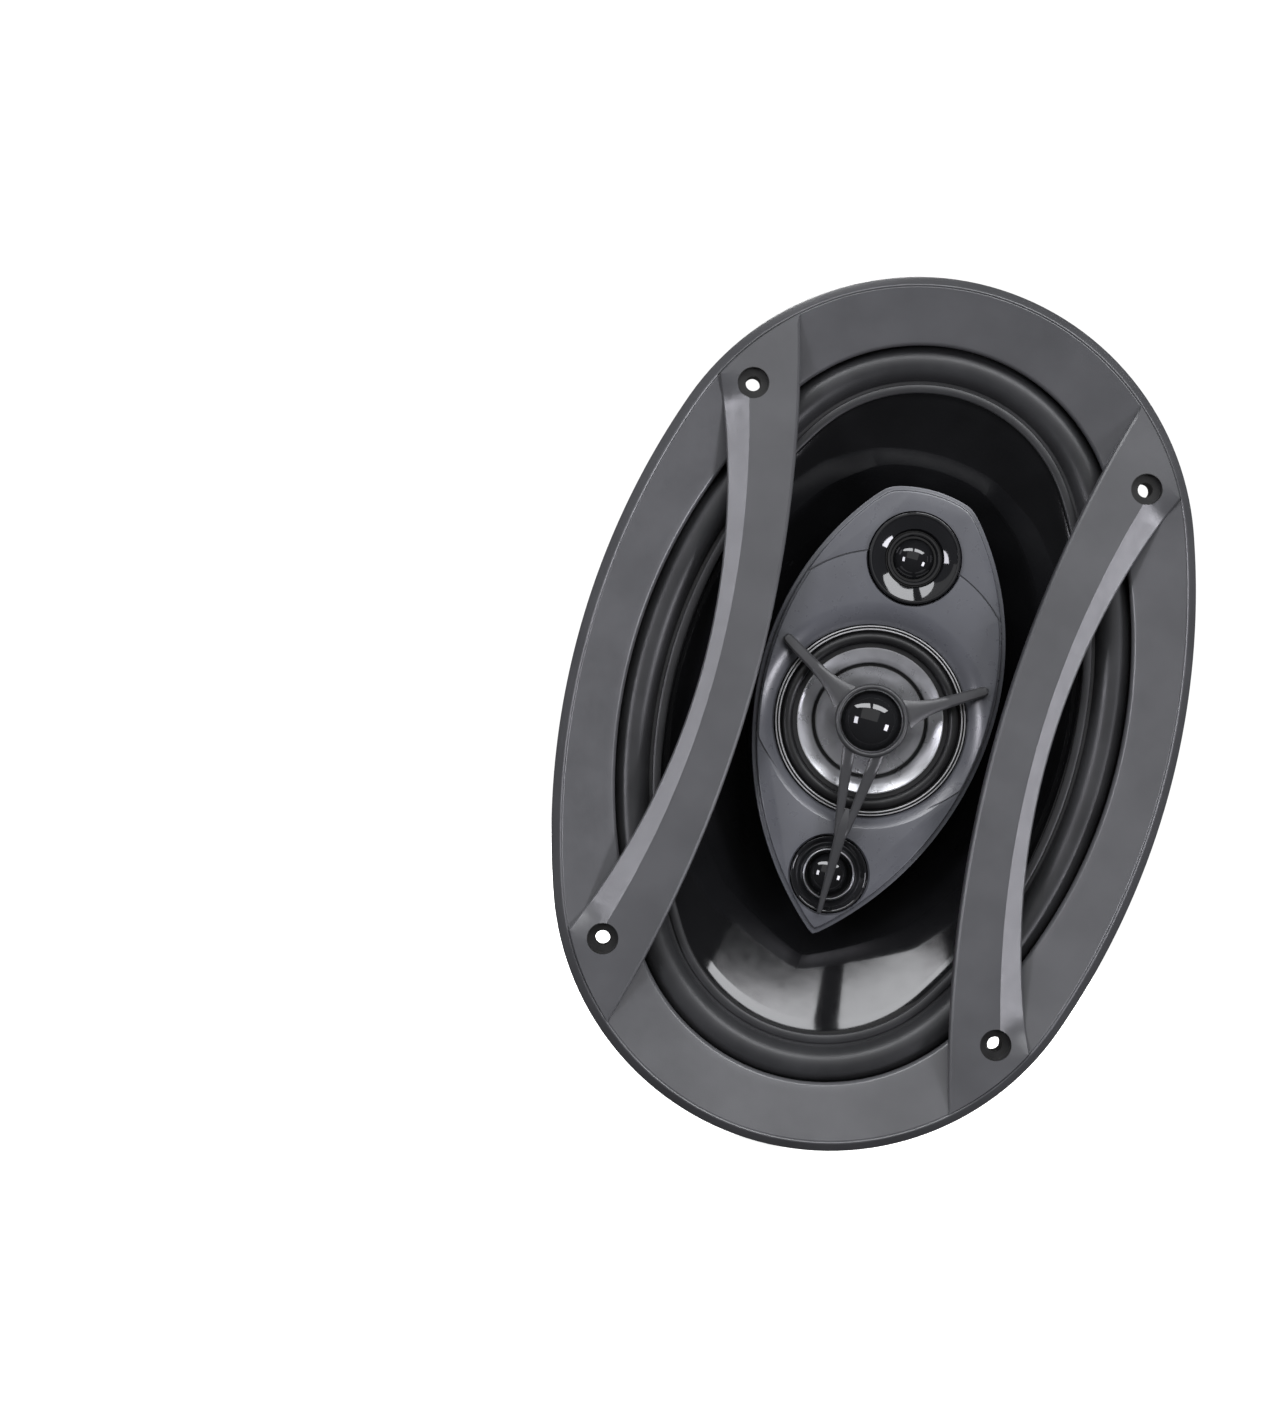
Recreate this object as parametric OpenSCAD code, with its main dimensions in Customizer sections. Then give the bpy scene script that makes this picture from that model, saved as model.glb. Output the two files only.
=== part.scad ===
// Oval coaxial car speaker: woofer, midrange and three tweeters on one axis, with a clip-over trim ring.
// The speaker stands upright in its own frame: X to the right, Z up, and the front faces -Y.
// The origin is the centre of the four screw holes, on the rear face of the mounting flange.
// Inside face() the axes are x across, y up and z forward, so z = 0 is the mounting plane.

/* [Opening] */
// Width of the oval opening in the trim ring
mouth_w = 140; // [130:1:190]
// Height of the oval opening in the trim ring
mouth_h = 211; // [176:1:254]
// Radius of the two end arcs of the opening
end_r = 55.1; // [48:0.1:62]

/* [Screw holes] */
// How far the screw holes lie outside the opening
hole_out = 9.254; // [8:0.001:12]
// Direction of the screw holes from the centre of the opening's arc there, above horizontal
hole_dir = 30.873; // [22:0.001:40]
// Lean of the slots in the basket ears
slot_dir = 27.9; // [0:0.1:45]
// Diameter of the screw holes in the trim ring
screw_hole_d = 4.2; // [3.5:0.1:5]
// Diameter of the recess for the screw head
head_recess_d = 8.6; // [7:0.1:9.4]
// Width of the slots in the basket ears
slot_w = 6; // [4.5:0.1:7]
// Length of the slots in the basket ears
slot_l = 9; // [7.5:0.1:10]

/* [Basket] */
// Thickness of the pressed steel
steel_t = 1.2; // [0.8:0.1:1.6]
// Width of the mounting flange outside the opening
flange_w = 8.5; // [7.5:0.1:10]
// Radius of the basket ears round their slots
ear_r = 8.3; // [7.5:0.1:9]
// Depth of the spider shelf behind the mounting plane
shelf_depth = 41; // [38:1:52]
// Radius of the spider shelf
shelf_r = 44; // [42:0.5:50]
// Radius of the basket cup round the voice coil
cup_r = 38; // [34:0.5:40]
// Depth of the basket cup behind the spider shelf
cup_depth = 11; // [9:0.5:15]
// Width of the six basket spokes
spoke_w = 12; // [8:0.5:16]
// Width of the gasket on top of the surround's edge
gasket_w = 5.6; // [4:0.1:6.2]
// Thickness of the gasket
gasket_t = 2.5; // [1.5:0.1:3]

/* [Cone and suspension] */
// How far the cone's mouth lies inside the opening at its sides
cone_in_side = 12.5; // [12:0.5:16]
// How far the cone's mouth lies inside the opening at its ends
cone_in_end = 17; // [15.5:0.5:25.5]
// Depth of the cone from the mounting plane to its neck
cone_depth = 38; // [36:1:49]
// Thickness of the cone wall
cone_t = 0.8; // [0.5:0.1:1.2]
// Radius of the surround's half roll
roll_r = 5; // [4:0.1:5.2]
// Thickness of the surround
roll_t = 0.7; // [0.4:0.1:1]
// Height of the spider's corrugations
spider_wave = 1; // [0.5:0.1:1.5]

/* [Motor] */
// Inside radius of the voice coil former
coil_r = 16; // [14:0.5:18]
// Wall of the voice coil former
former_t = 0.25; // [0.2:0.05:0.4]
// Thickness of the voice coil winding
winding_t = 0.7; // [0.4:0.1:1]
// Length of the voice coil winding
winding_l = 12; // [9:0.5:13]
// Clearance on each side of the voice coil in the magnetic gap
coil_gap = 0.55; // [0.4:0.05:0.8]
// Radius of the top plate and the back plate
plate_r = 44; // [40:0.5:48]
// Thickness of the top plate
top_plate_t = 6; // [5:0.5:8]
// Radius of the ferrite magnet
magnet_r = 50; // [48:0.5:60]
// Thickness of the ferrite magnet
magnet_t = 17; // [14:0.5:22]
// Thickness of the back plate
back_plate_t = 6; // [5:0.5:8]
// Wall of the rubber boot over the magnet
boot_t = 1.6; // [1.2:0.1:2.5]

/* [Trim ring] */
// Width of the ring's band at the two sides
side_band = 16; // [15:0.5:24]
// Width of the ring's band at top and bottom
end_band = 19; // [17:0.5:26]
// Distance from a screw hole to the ring's outer edge
corner_band = 11.6; // [11:0.1:14]
// Height of the ring's rim above the mounting plane
ring_h = 13; // [12:0.5:16]
// How far the ring's face falls from the rim to the opening
dish_drop = 4.5; // [3:0.1:5]
// Wall of the ring
ring_t = 2.5; // [2:0.1:3]
// Half of the gap between the two bars at mid height
bar_half_gap = 34.5; // [30:0.5:40]
// Width of a bar at mid height
bar_mid_w = 15.5; // [12:0.5:20]
// Distance from a screw hole to the bar's inner edge
bar_end_in = 13.4; // [10:0.1:15]
// Distance from a screw hole to the bar's outer edge
bar_end_out = 9.8; // [8:0.1:11]
// Height of the bars above the mounting plane at mid height
bar_h = 16; // [14:0.5:20]
// Thickness of the bars across the opening
bar_t = 6; // [4:0.5:7]
// Width of the sloped facet along the bar's outer edge at mid height
facet_w = 4; // [2:0.5:8]

/* [Pod] */
// Width of the pod that carries the small drivers
pod_w = 68; // [64:0.5:72]
// Height of the pod's widest point above the centre
pod_mid_y = 8; // [4:0.5:10]
// Radius of the pod's upper side arcs
pod_top_r = 82; // [78:0.5:90]
// Radius of the pod's lower side arcs
pod_low_r = 95; // [92:0.5:110]
// Height of the pod's blunt top above the centre
pod_cap_y = 65.5; // [62:0.5:70]
// Radius of the pod's blunt top
pod_cap_r = 37; // [34:0.5:60]
// Height of the pod's face above the mounting plane
pod_face_z = 3.5; // [2.5:0.1:5]
// Height of the midrange shield above the pod's face
shield_t = 0.8; // [0.4:0.1:1.5]
// Radius of the midrange shield's visible seam
shield_r = 37.6; // [34:0.1:40]
// Height of the shield's centre above the centre of the speaker
shield_y = 9; // [6:0.5:12]
// Wall of the pod's two shells
pod_wall = 1.6; // [1.2:0.1:2]
// Radius of the post that carries the pod
post_r = 8; // [6.5:0.1:9]
// Radius of the bore for the pod's leads
post_bore_r = 3.2; // [2.5:0.1:4]

/* [Midrange] */
// Height of the midrange's axis, below the centre when negative
mid_y = -2; // [-4:0.5:0]
// Radius of the midrange bezel
mid_r = 27; // [26:0.1:28]
// Radius of the midrange cone
mid_cone_r = 21.6; // [20:0.1:22]
// Inside radius of the midrange voice coil former
mid_coil_r = 6.2; // [5.5:0.1:7]

/* [Tweeters] */
// Radius of the centre tweeter's dome
hub_dome_r = 7.8; // [7:0.1:8.2]
// Height of the top tweeter's axis
top_y = 45.5; // [44.5:0.5:47]
// Radius of the top tweeter's horn
top_r = 13; // [12:0.1:14]
// Height of the bottom tweeter's axis
low_y = -47; // [-48:0.5:-46]
// Radius of the bottom tweeter's cup
low_r = 10.8; // [10:0.1:11.2]
// Radius of the top and bottom tweeter domes
dome_r = 5.8; // [5:0.1:6]

/* [Hidden] */
$fn = 96;
eps = 0.01;          // overlap between shapes joined in one piece
glue = 0.05;         // glue line between the surround and what it is glued to
fit = 0.3;           // clearance round seated pieces

// The oval family of the opening: four arcs that share their centres at every offset d.
mouth_a = mouth_w / 2;
mouth_b = mouth_h / 2;
side_r = oval_side(mouth_a, mouth_b, end_r);

// The screw holes and the trim ring's outer oval, which passes corner_band outside them.
hole_x = out_point(hole_dir, hole_out)[0];
hole_y = out_point(hole_dir, hole_out)[1];
ring_a = mouth_a + side_band;
ring_b = mouth_b + end_band;
corner_dir = 30.9;
corner_x = hole_x + corner_band * cos(corner_dir);
corner_y = hole_y + corner_band * sin(corner_dir);
ring_end_r = (corner_x * corner_x + pow(ring_b - corner_y, 2)) / (2 * (ring_b - corner_y));
band_reach = max(side_band, end_band) + 3;
screw_boss_r = hole_out - 0.4 - gasket_w - fit;   // clears the gasket

// Levels of the motor, counted forward from the mounting plane.
shelf_z = -shelf_depth;
floor_z = shelf_z - cup_depth;
plate_z = floor_z - steel_t;
magnet_z = plate_z - top_plate_t;
back_z = magnet_z - magnet_t;
rear_z = back_z - back_plate_t;
cone_a = mouth_a - cone_in_side;
cone_b = mouth_b - cone_in_end;
neck_z = -cone_depth;
neck_r = coil_r + former_t + glue;
gap_r = coil_r + former_t + winding_t + coil_gap;
pole_r = coil_r - coil_gap;
coil_mid_z = plate_z - top_plate_t / 2;
lead_r = 0.45;
lead_x = 1;
boot_r = magnet_r + 2 * lead_r + 0.7;
boot_z = rear_z - 2 * lead_r - 0.7;
shank_r = 5;

// The surround and the cone's lip.
roll_d = 0.4 - roll_r;                 // offset of the roll's centre line
lip_d = roll_d - roll_r - 0.2;         // outer edge of the cone's lip
land_z = steel_t + glue;

// Bars of the trim ring.
bar_in_sag = hole_x - bar_end_in - bar_half_gap;
bar_in_r = (hole_y * hole_y + bar_in_sag * bar_in_sag) / (2 * bar_in_sag);
bar_out_x = bar_half_gap + bar_mid_w;
bar_out_sag = hole_x + bar_end_out - bar_out_x;
bar_out_r = (hole_y * hole_y + bar_out_sag * bar_out_sag) / (2 * bar_out_sag);
rim_inset = 3;
crown_drop = bar_h - ring_h - 0.2;
crown_y = ring_b - 25;
crown_r = (crown_y * crown_y + crown_drop * crown_drop) / (2 * crown_drop);
facet_run = 2.5;                       // sideways run of the facet for each mm of fall
crease_x = bar_out_x - facet_w;
crease_m = crease_x + facet_run * hole_y * hole_y / (2 * crown_r);
crease_end_x = hole_x + 1;
facet_x = (pow(crease_end_x, 2) + pow(hole_y, 2) - crease_m * crease_m) / (2 * (crease_end_x - crease_m));

// Levels of the pod.
pod_rim_z = pod_face_z - 1.5;
pod_seam_z = pod_rim_z - 6;
pod_back_z = pod_seam_z - 6;
pod_back_in = 9;                       // how far the pod's back is set in from its outline
bump_z = pod_back_z - 7.5;
bump_r = 19;
pod_screw_at = [[17, 28], [-17, 28], [11, -33], [-11, -33]];
pod_screw_r = 1.1;
guard_z = 7;                           // underside of the guard over the midrange
hub_z = 7.5;                           // front of the centre tweeter's body

// Levels of the midrange.
mid_floor_z = -7.5;
mid_steel = 0.8;
mid_gap_r = mid_coil_r + 1.1;
mid_plate_z = mid_floor_z - mid_steel;
mid_magnet_z = mid_plate_z - 1.7;
mid_back_z = mid_magnet_z - 2.2;
mid_rear_z = mid_back_z - 1.6;
mid_stem_r = 2.5;

function oval_side(a, b, r) = (a * a + b * b - 2 * b * r) / (2 * (a - r));

// Point d outside the opening, in the direction t from the centre of the arc there.
function out_point(t, d) = t < atan2(mouth_b - end_r, side_r - mouth_a)
    ? [mouth_a - side_r + (side_r + d) * cos(t), (side_r + d) * sin(t)]
    : [(end_r + d) * cos(t), mouth_b - end_r + (end_r + d) * sin(t)];

// Points of a four-arc oval: n steps on each arc.
function arc_points(cx, cy, r, from, to, n) =
    [for (i = [0 : n - 1]) let (t = from + (to - from) * i / n) [cx + r * cos(t), cy + r * sin(t)]];
function oval_points(a, b, r, n = 30) =
    let (s = oval_side(a, b, r), q = atan2(b - r, s - a)) concat(
        arc_points(a - s, 0, s, -q, q, n), arc_points(0, b - r, r, q, 180 - q, n),
        arc_points(s - a, 0, s, 180 - q, 180 + q, n), arc_points(0, r - b, r, 180 + q, 360 - q, n));

module face() {
    rotate([90, 0, 0]) children();
}

module slab(low, high) {
    translate([0, 0, low]) linear_extrude(high - low) children();
}

module tube(low, high, r_out, r_in) {
    translate([0, 0, low]) difference() {
        cylinder(r = r_out, h = high - low);
        translate([0, 0, -1]) cylinder(r = r_in, h = high - low + 2);
    }
}

// The opening's oval, moved outwards by d.
module mouth_2d(d) {
    polygon(oval_points(mouth_a + d, mouth_b + d, end_r + d));
}

module ring_2d(d) {
    polygon(oval_points(ring_a + d, ring_b + d, ring_end_r + d));
}

// Sweeps a closed profile of [offset, height] points, listed clockwise, round the opening's oval.
module mouth_sweep(profile, n) {
    m = 4 * n;
    k = len(profile);
    points = [for (p = profile, q = oval_points(mouth_a + p[0], mouth_b + p[0], end_r + p[0], n)) [q[0], q[1], p[1]]];
    quads = [for (j = [0 : k - 1], i = [0 : m - 1])
        let (next = (j + 1) % k, turn = (i + 1) % m) [j * m + i, j * m + turn, next * m + turn, next * m + i]];
    polyhedron(points, quads, convexity = 8);
}

module at_holes() {
    for (sx = [-1, 1], sy = [-1, 1]) translate([sx * hole_x, sy * hole_y, 0])
        rotate([0, 0, sx * sy > 0 ? slot_dir : -slot_dir]) children();
}

// A round wire through points that all lie near one plane x = constant.
function unit(v) = v / norm(v);
function along(p, i) = unit(p[min(i + 1, len(p) - 1)] - p[max(i - 1, 0)]);
function wire_ring(c, t, r, n) =
    let (u = unit(cross(t, [1, 0, 0])), v = cross(u, t))
    [for (k = [0 : n - 1]) c + r * (cos(360 * k / n) * u + sin(360 * k / n) * v)];
// Points of a smooth curve through the corner points p, with s steps on each stretch.
function bend(p0, p1, p2, p3, t) =
    0.5 * (2 * p1 + (p2 - p0) * t + (2 * p0 - 5 * p1 + 4 * p2 - p3) * t * t
        + (3 * p1 - p0 - 3 * p2 + p3) * t * t * t);
function smooth(p, s) = let (m = len(p) - 1) concat(
    [for (i = [0 : m - 1], k = [0 : s - 1])
        bend(p[max(i - 1, 0)], p[i], p[i + 1], p[min(i + 2, m)], k / s)], [p[m]]);
module wire(p, r, n = 8) {
    m = len(p);
    rings = [for (i = [0 : m - 1]) each wire_ring(p[i], along(p, i), r, n)];
    sides = [for (i = [0 : m - 2], k = [0 : n - 1])
        let (a = i * n + k, b = i * n + (k + 1) % n) [a, b, b + n, a + n]];
    polyhedron(rings, concat([[for (k = [n - 1 : -1 : 0]) k]], sides,
        [[for (k = [0 : n - 1]) (m - 1) * n + k]]), convexity = 6);
}

// ---------------------------------------------------------------- basket

module flange_outline() {
    hull() {
        mouth_2d(flange_w);
        for (sx = [-1, 1], sy = [-1, 1]) translate([sx * hole_x, sy * hole_y]) circle(ear_r, $fn = 48);
    }
}

module basket_funnel(grow, low, high) {
    hull() {
        slab(high - 0.1, high) mouth_2d(0.8 + grow);
        translate([0, 0, low]) cylinder(r = shelf_r + grow, h = 0.1, $fn = 120);
    }
}

module basket_windows() {
    slab(shelf_z + 4, -5) difference() {
        mouth_2d(-4);
        circle(shelf_r + 3);
        for (turn = [0, 60, 120]) rotate(turn) square([2 * mouth_b, spoke_w], center = true);
    }
}

module slot() {
    for (s = [-1, 1]) translate([s * (slot_l - slot_w) / 2, 0, -1]) cylinder(d = slot_w, h = steel_t + 2);
    translate([-(slot_l - slot_w) / 2, -slot_w / 2, -1]) cube([slot_l - slot_w, slot_w, steel_t + 2]);
}

board_l = 16;
board_w = 30;
board_t = 1.6;
board_z = shelf_z;
funnel_run = (mouth_b + 0.8 - shelf_r) / (shelf_depth + steel_t);   // spread of the funnel for each mm of height
// inner edge of the terminal board, just clear of the funnel
board_y = -(shelf_r + steel_t + funnel_run * (steel_t + board_t) + 0.5);

module basket() {
    color([0.2, 0.2, 0.21]) face() difference() {
        union() {
            slab(0, steel_t) flange_outline();
            basket_funnel(steel_t, shelf_z - steel_t, steel_t);
            translate([0, 0, plate_z]) cylinder(r = cup_r + steel_t, h = shelf_z - plate_z - eps);
            // tab that the terminal board is riveted to
            translate([-board_w / 2 + 4, board_y - board_l + 6, shelf_z - steel_t])
                cube([board_w - 8, board_l, steel_t]);
        }
        basket_funnel(0, shelf_z, steel_t + 0.1);
        slab(0, 2 * steel_t) mouth_2d(0.8);
        translate([0, 0, floor_z]) cylinder(r = cup_r, h = cup_depth + 1);
        translate([0, 0, plate_z - 1]) cylinder(r = gap_r + 1.5, h = steel_t + 2);
        basket_windows();
        at_holes() slot();
        at_rivets() translate([0, 0, plate_z - 1]) cylinder(r = rivet_r, h = steel_t + 2);
        at_board_rivets() translate([0, 0, shelf_z - 2 * steel_t]) cylinder(r = board_rivet_r, h = 3 * steel_t);
    }
}

rivet_r = 2;
module at_rivets() {
    for (turn = [45 : 90 : 315]) rotate([0, 0, turn]) translate([(gap_r + cup_r) / 2 + 2, 0, 0]) children();
}

module basket_rivets() {
    color("silver") face() at_rivets() {
        translate([0, 0, plate_z - 3]) cylinder(r = rivet_r, h = steel_t + 3);
        translate([0, 0, floor_z]) cylinder(r = 1.8 * rivet_r, h = 1.1);
    }
}

module gasket() {
    color([0.16, 0.16, 0.17]) face() slab(land_z + roll_t, land_z + roll_t + gasket_t) difference() {
        mouth_2d(roll_d + roll_r + gasket_w);
        mouth_2d(roll_d + roll_r);
    }
}

// ---------------------------------------------------------------- cone and suspension

function roll_arc(r, from, to, n) =
    [for (i = [0 : n]) let (t = from + (to - from) * i / n) [roll_d + r * cos(t), land_z + r * sin(t)]];

module surround() {
    rise = asin(roll_t / roll_r);
    outer = roll_d + roll_r + gasket_w - 0.2;
    inner = lip_d - 3.2;
    profile = concat([[inner, land_z], [inner, land_z + roll_t]], roll_arc(roll_r, 180 - rise, rise, 12),
        [[outer, land_z + roll_t], [outer, land_z]], roll_arc(roll_r - roll_t, 0, 180, 10));
    color([0.3, 0.3, 0.32]) face() mouth_sweep(profile, 16);
}

module cone_funnel(grow, top) {
    hull() {
        slab(top - 0.1, top) scale([1, (cone_b + grow) / (cone_a + grow)])
            circle(cone_a + grow, $fn = 120);
        translate([0, 0, neck_z]) cylinder(r = neck_r + grow, h = 0.1, $fn = 120);
    }
}

module cone() {
    lip_low = steel_t - cone_t;
    color([0.05, 0.05, 0.055]) face() difference() {
        union() {
            slab(lip_low, steel_t) mouth_2d(lip_d);
            cone_funnel(cone_t, steel_t);
        }
        cone_funnel(0, steel_t + 0.1);
        translate([0, 0, neck_z - 1]) cylinder(r = neck_r, h = 2);
    }
}

function wave(i, n) = spider_wave * sin(360 * 5 * i / n);
module spider() {
    inner = neck_r + 0.1;
    outer = shelf_r - 0.4;
    n = 60;
    z = shelf_z + spider_wave + 0.1;
    top = [for (i = [0 : n]) [inner + (outer - inner) * i / n, z + 0.5 + wave(i, n)]];
    low = [for (i = [n : -1 : 0]) [inner + (outer - inner) * i / n, z + wave(i, n)]];
    color([0.78, 0.66, 0.42]) face() rotate_extrude() polygon(concat(top, low));
}

module coil_former() {
    color([0.72, 0.5, 0.25]) face()
        tube(coil_mid_z - winding_l / 2 - 0.5, neck_z + 2, coil_r + former_t, coil_r);
}

module voice_coil() {
    color([0.72, 0.36, 0.16]) face()
        tube(coil_mid_z - winding_l / 2, coil_mid_z + winding_l / 2,
            coil_r + former_t + winding_t, coil_r + former_t);
}

// ---------------------------------------------------------------- motor

module top_plate() {
    color("silver") face() difference() {
        tube(magnet_z, plate_z, plate_r, gap_r);
        at_rivets() translate([0, 0, plate_z - 3]) cylinder(r = rivet_r, h = 4);
    }
}

module magnet() {
    color([0.13, 0.13, 0.14]) face() tube(back_z, magnet_z, magnet_r, gap_r + 9);
}

module back_plate() {
    color("silver") face() difference() {
        union() {
            translate([0, 0, rear_z]) cylinder(r = plate_r, h = back_plate_t);
            translate([0, 0, rear_z]) cylinder(r = pole_r, h = plate_z - rear_z);
        }
        translate([0, 0, rear_z - 1]) cylinder(r = shank_r + 0.05, h = plate_z - rear_z + 2);
    }
}

module magnet_boot() {
    color([0.09, 0.09, 0.095]) face() difference() {
        translate([0, 0, boot_z - boot_t]) cylinder(r = boot_r + boot_t, h = magnet_z - boot_z + boot_t - 1);
        translate([0, 0, boot_z]) cylinder(r = boot_r, h = magnet_z - boot_z);
        // shallow round panel in the back of the boot
        translate([0, 0, boot_z - boot_t - 1]) cylinder(r = boot_r - 12, h = 1.5);
    }
}

// ---------------------------------------------------------------- terminals and leads

board_rivet_r = 1.4;
module at_board_rivets() {
    for (sx = [-1, 1]) translate([sx * 8, board_y - board_l / 2, 0]) children();
}

module terminal_board() {
    color([0.1, 0.1, 0.1]) face() difference() {
        translate([-board_w / 2, board_y - board_l, board_z]) cube([board_w, board_l, board_t]);
        at_board_rivets() translate([0, 0, board_z - 1]) cylinder(r = board_rivet_r, h = board_t + 2);
    }
}

module terminal_rivets() {
    color("silver") face() at_board_rivets() {
        translate([0, 0, shelf_z - steel_t - 0.8]) cylinder(r = 1.8 * board_rivet_r, h = 0.8);
        translate([0, 0, shelf_z - steel_t - 0.4]) cylinder(r = board_rivet_r, h = board_t + steel_t + 1.6);
        translate([0, 0, board_z + board_t + 0.8]) cylinder(r = 1.8 * board_rivet_r, h = 0.8);
    }
}

module push_tab(w) {
    translate([-w / 2, board_y - board_l - 8, board_z + board_t]) difference() {
        cube([w, 8 + board_l / 2 + 4, 0.8]);
        translate([w / 2, board_l / 2 + 8, -1]) cylinder(r = board_rivet_r, h = 3);
        translate([w / 2, 3.2, -1]) cylinder(r = 0.8, h = 3, $fn = 32);
    }
}

module terminal_positive() {
    color([0.8, 0.75, 0.6]) face() translate([8, 0, 0]) push_tab(6.3);
}

module terminal_negative() {
    color([0.8, 0.75, 0.6]) face() translate([-8, 0, 0]) push_tab(4.8);
}

tinsel_x = 8;
tab_top = board_z + board_t + 0.8;
module tinsel_leads() {
    y0 = board_y - 12.5;
    cone_y = -54;
    cone_back = neck_z + (-cone_y - neck_r) * (steel_t + cone_depth) / (cone_b - neck_r) - cone_t - 1;
    color([0.75, 0.6, 0.35]) face() for (sx = [-1, 1]) translate([sx * tinsel_x, 0, 0])
        wire(smooth([[0, y0, tab_top + 0.1 + lead_r], [0, y0 - 1, tab_top + 3.5], [0, y0 - 1.3, tab_top + 8],
            [0, y0 + 1, tab_top + 13], [0, cone_y, cone_back - 0.6]], 4), lead_r);
}

module pod_leads() {
    rear = rear_z - 0.35 - lead_r;
    side = magnet_r + 0.35 + lead_r;
    inside = bump_z + pod_wall + 0.4 + lead_r;
    route = [[0, 25, pod_back_z + 4], [0, 20, pod_back_z + 3], [0, 16, pod_back_z + 2.6],
        [0, 14.2, pod_back_z + 0.6], [0, 13.6, inside + 2.5], [0, 11, inside], [0, 3.5, inside],
        [0, 0.9, inside - 2],
        [0, 0, inside - 8], [0, 0, -40], [0, 0, -62], [0, 0, rear_z + 2.4], [0, -2.4, rear],
        [0, -8, rear], [0, -plate_r + 4, rear], [0, -side + 2.2, rear + 1.2], [0, -side, rear + 5],
        [0, -side, back_z + 6], [0, -side, magnet_z - 1], [0, -side, plate_z - 1],
        [0, board_y - 4.8, shelf_z - 5], [0, board_y - 4.5, shelf_z - steel_t - 0.6]];
    color([0.08, 0.08, 0.08]) face() for (sx = [-1, 1]) translate([sx * lead_x, 0, 0])
        wire(smooth(route, 3), lead_r);
}

// ---------------------------------------------------------------- pod

module side_lens(r, inset) {
    intersection() {
        translate([pod_w / 2 - r, pod_mid_y]) circle(r - inset, $fn = 240);
        translate([r - pod_w / 2, pod_mid_y]) circle(r - inset, $fn = 240);
    }
}

module pod_2d(inset) {
    intersection() {
        union() {
            intersection() {
                side_lens(pod_top_r, inset);
                translate([-pod_w, pod_mid_y]) square([2 * pod_w, pod_cap_y]);
            }
            intersection() {
                side_lens(pod_low_r, inset);
                translate([-pod_w, pod_mid_y - 2 * pod_cap_y]) square([2 * pod_w, 2 * pod_cap_y]);
            }
        }
        union() {
            translate([0, pod_cap_y - pod_cap_r]) circle(pod_cap_r - inset, $fn = 180);
            translate([-pod_w, -3 * pod_cap_y]) square([2 * pod_w, 4 * pod_cap_y - pod_cap_r]);
        }
    }
}

module at_pod_screws() {
    for (p = pod_screw_at) translate([p[0], p[1], 0]) children();
}

module pod_face() {
    top_z = pod_face_z + shield_t;
    sink = 4.5;
    color([0.42, 0.42, 0.45]) face() difference() {
        union() {
            slab(pod_seam_z, pod_rim_z) pod_2d(0);
            slab(pod_rim_z - eps, pod_face_z) pod_2d(1.2);
            slab(pod_face_z - eps, top_z) intersection() {
                pod_2d(1.8);
                translate([0, shield_y]) circle(shield_r, $fn = 180);
            }
        }
        difference() {
            slab(pod_seam_z - 1, pod_face_z - pod_wall - 0.6) pod_2d(pod_wall);
            at_pod_screws() translate([0, 0, pod_back_z]) cylinder(r = 2.9, h = 20);
        }
        at_pod_screws() translate([0, 0, pod_seam_z - 1]) cylinder(r = pod_screw_r + 0.05, h = 6.5);
        translate([0, mid_y, pod_seam_z - 1]) cylinder(r = mid_r + fit, h = 20);
        translate([0, mid_y, top_z - 3]) cylinder(r1 = mid_r + fit, r2 = mid_r + fit + sink, h = 3 + eps);
        translate([0, top_y, pod_seam_z - 1]) cylinder(r = top_r + fit, h = 20);
        translate([0, low_y, pod_seam_z - 1]) cylinder(r = low_r + fit, h = 20);
        translate([0, low_y, pod_face_z - 1]) cylinder(r1 = low_r + fit, r2 = low_r + fit + 0.5, h = 1 + eps);
    }
}

module pod_tub(inset, low, high) {
    hull() {
        slab(high - 0.1, high) pod_2d(0.6 + inset);
        slab(low, low + 0.1) pod_2d(pod_back_in + inset);
    }
}

module pod_rear() {
    color([0.12, 0.12, 0.13]) face() difference() {
        union() {
            pod_tub(0, pod_back_z, pod_seam_z);
            translate([0, mid_y, bump_z]) cylinder(r = bump_r, h = pod_back_z - bump_z + 1);
            at_pod_screws() translate([0, 0, pod_back_z]) cylinder(r = 2.9, h = pod_seam_z - pod_back_z - eps);
        }
        difference() {
            pod_tub(pod_wall, pod_back_z + pod_wall, pod_seam_z + 0.1);
            at_pod_screws() translate([0, 0, pod_back_z - 1]) cylinder(r = 2.9, h = 20);
        }
        translate([0, mid_y, bump_z + pod_wall]) cylinder(r = bump_r - pod_wall, h = 20);
        translate([0, 0, bump_z - 1]) cylinder(r = shank_r + 0.05, h = pod_wall + 2);
        at_pod_screws() translate([0, 0, pod_back_z - 1]) cylinder(r = pod_screw_r + 0.1, h = 20);
    }
}

module pod_screws() {
    color("dimgray") face() at_pod_screws() {
        translate([0, 0, pod_back_z - 1.5]) cylinder(r = 2.2, h = 1.5);
        translate([0, 0, pod_back_z - eps]) cylinder(r = pod_screw_r, h = pod_seam_z - pod_back_z + 5);
    }
}

module pod_post() {
    color([0.12, 0.12, 0.13]) face() difference() {
        union() {
            translate([0, 0, rear_z + 3]) cylinder(r = shank_r, h = bump_z + pod_wall - rear_z - 3);
            translate([0, 0, plate_z]) cylinder(r = post_r, h = bump_z - plate_z);
            translate([0, 0, bump_z - 2]) cylinder(r = post_r + 4, h = 2);
        }
        translate([0, 0, rear_z - 1]) cylinder(r = post_bore_r, h = bump_z - rear_z + 10);
    }
}

module crossover_capacitors() {
    color([0.1, 0.12, 0.3]) face() for (sx = [-1, 1])
        translate([sx * 7.5, 28.5, pod_back_z + pod_wall + 3.1]) rotate([0, 90, 0])
            cylinder(r = 2.9, h = 12, center = true);
}

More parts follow.
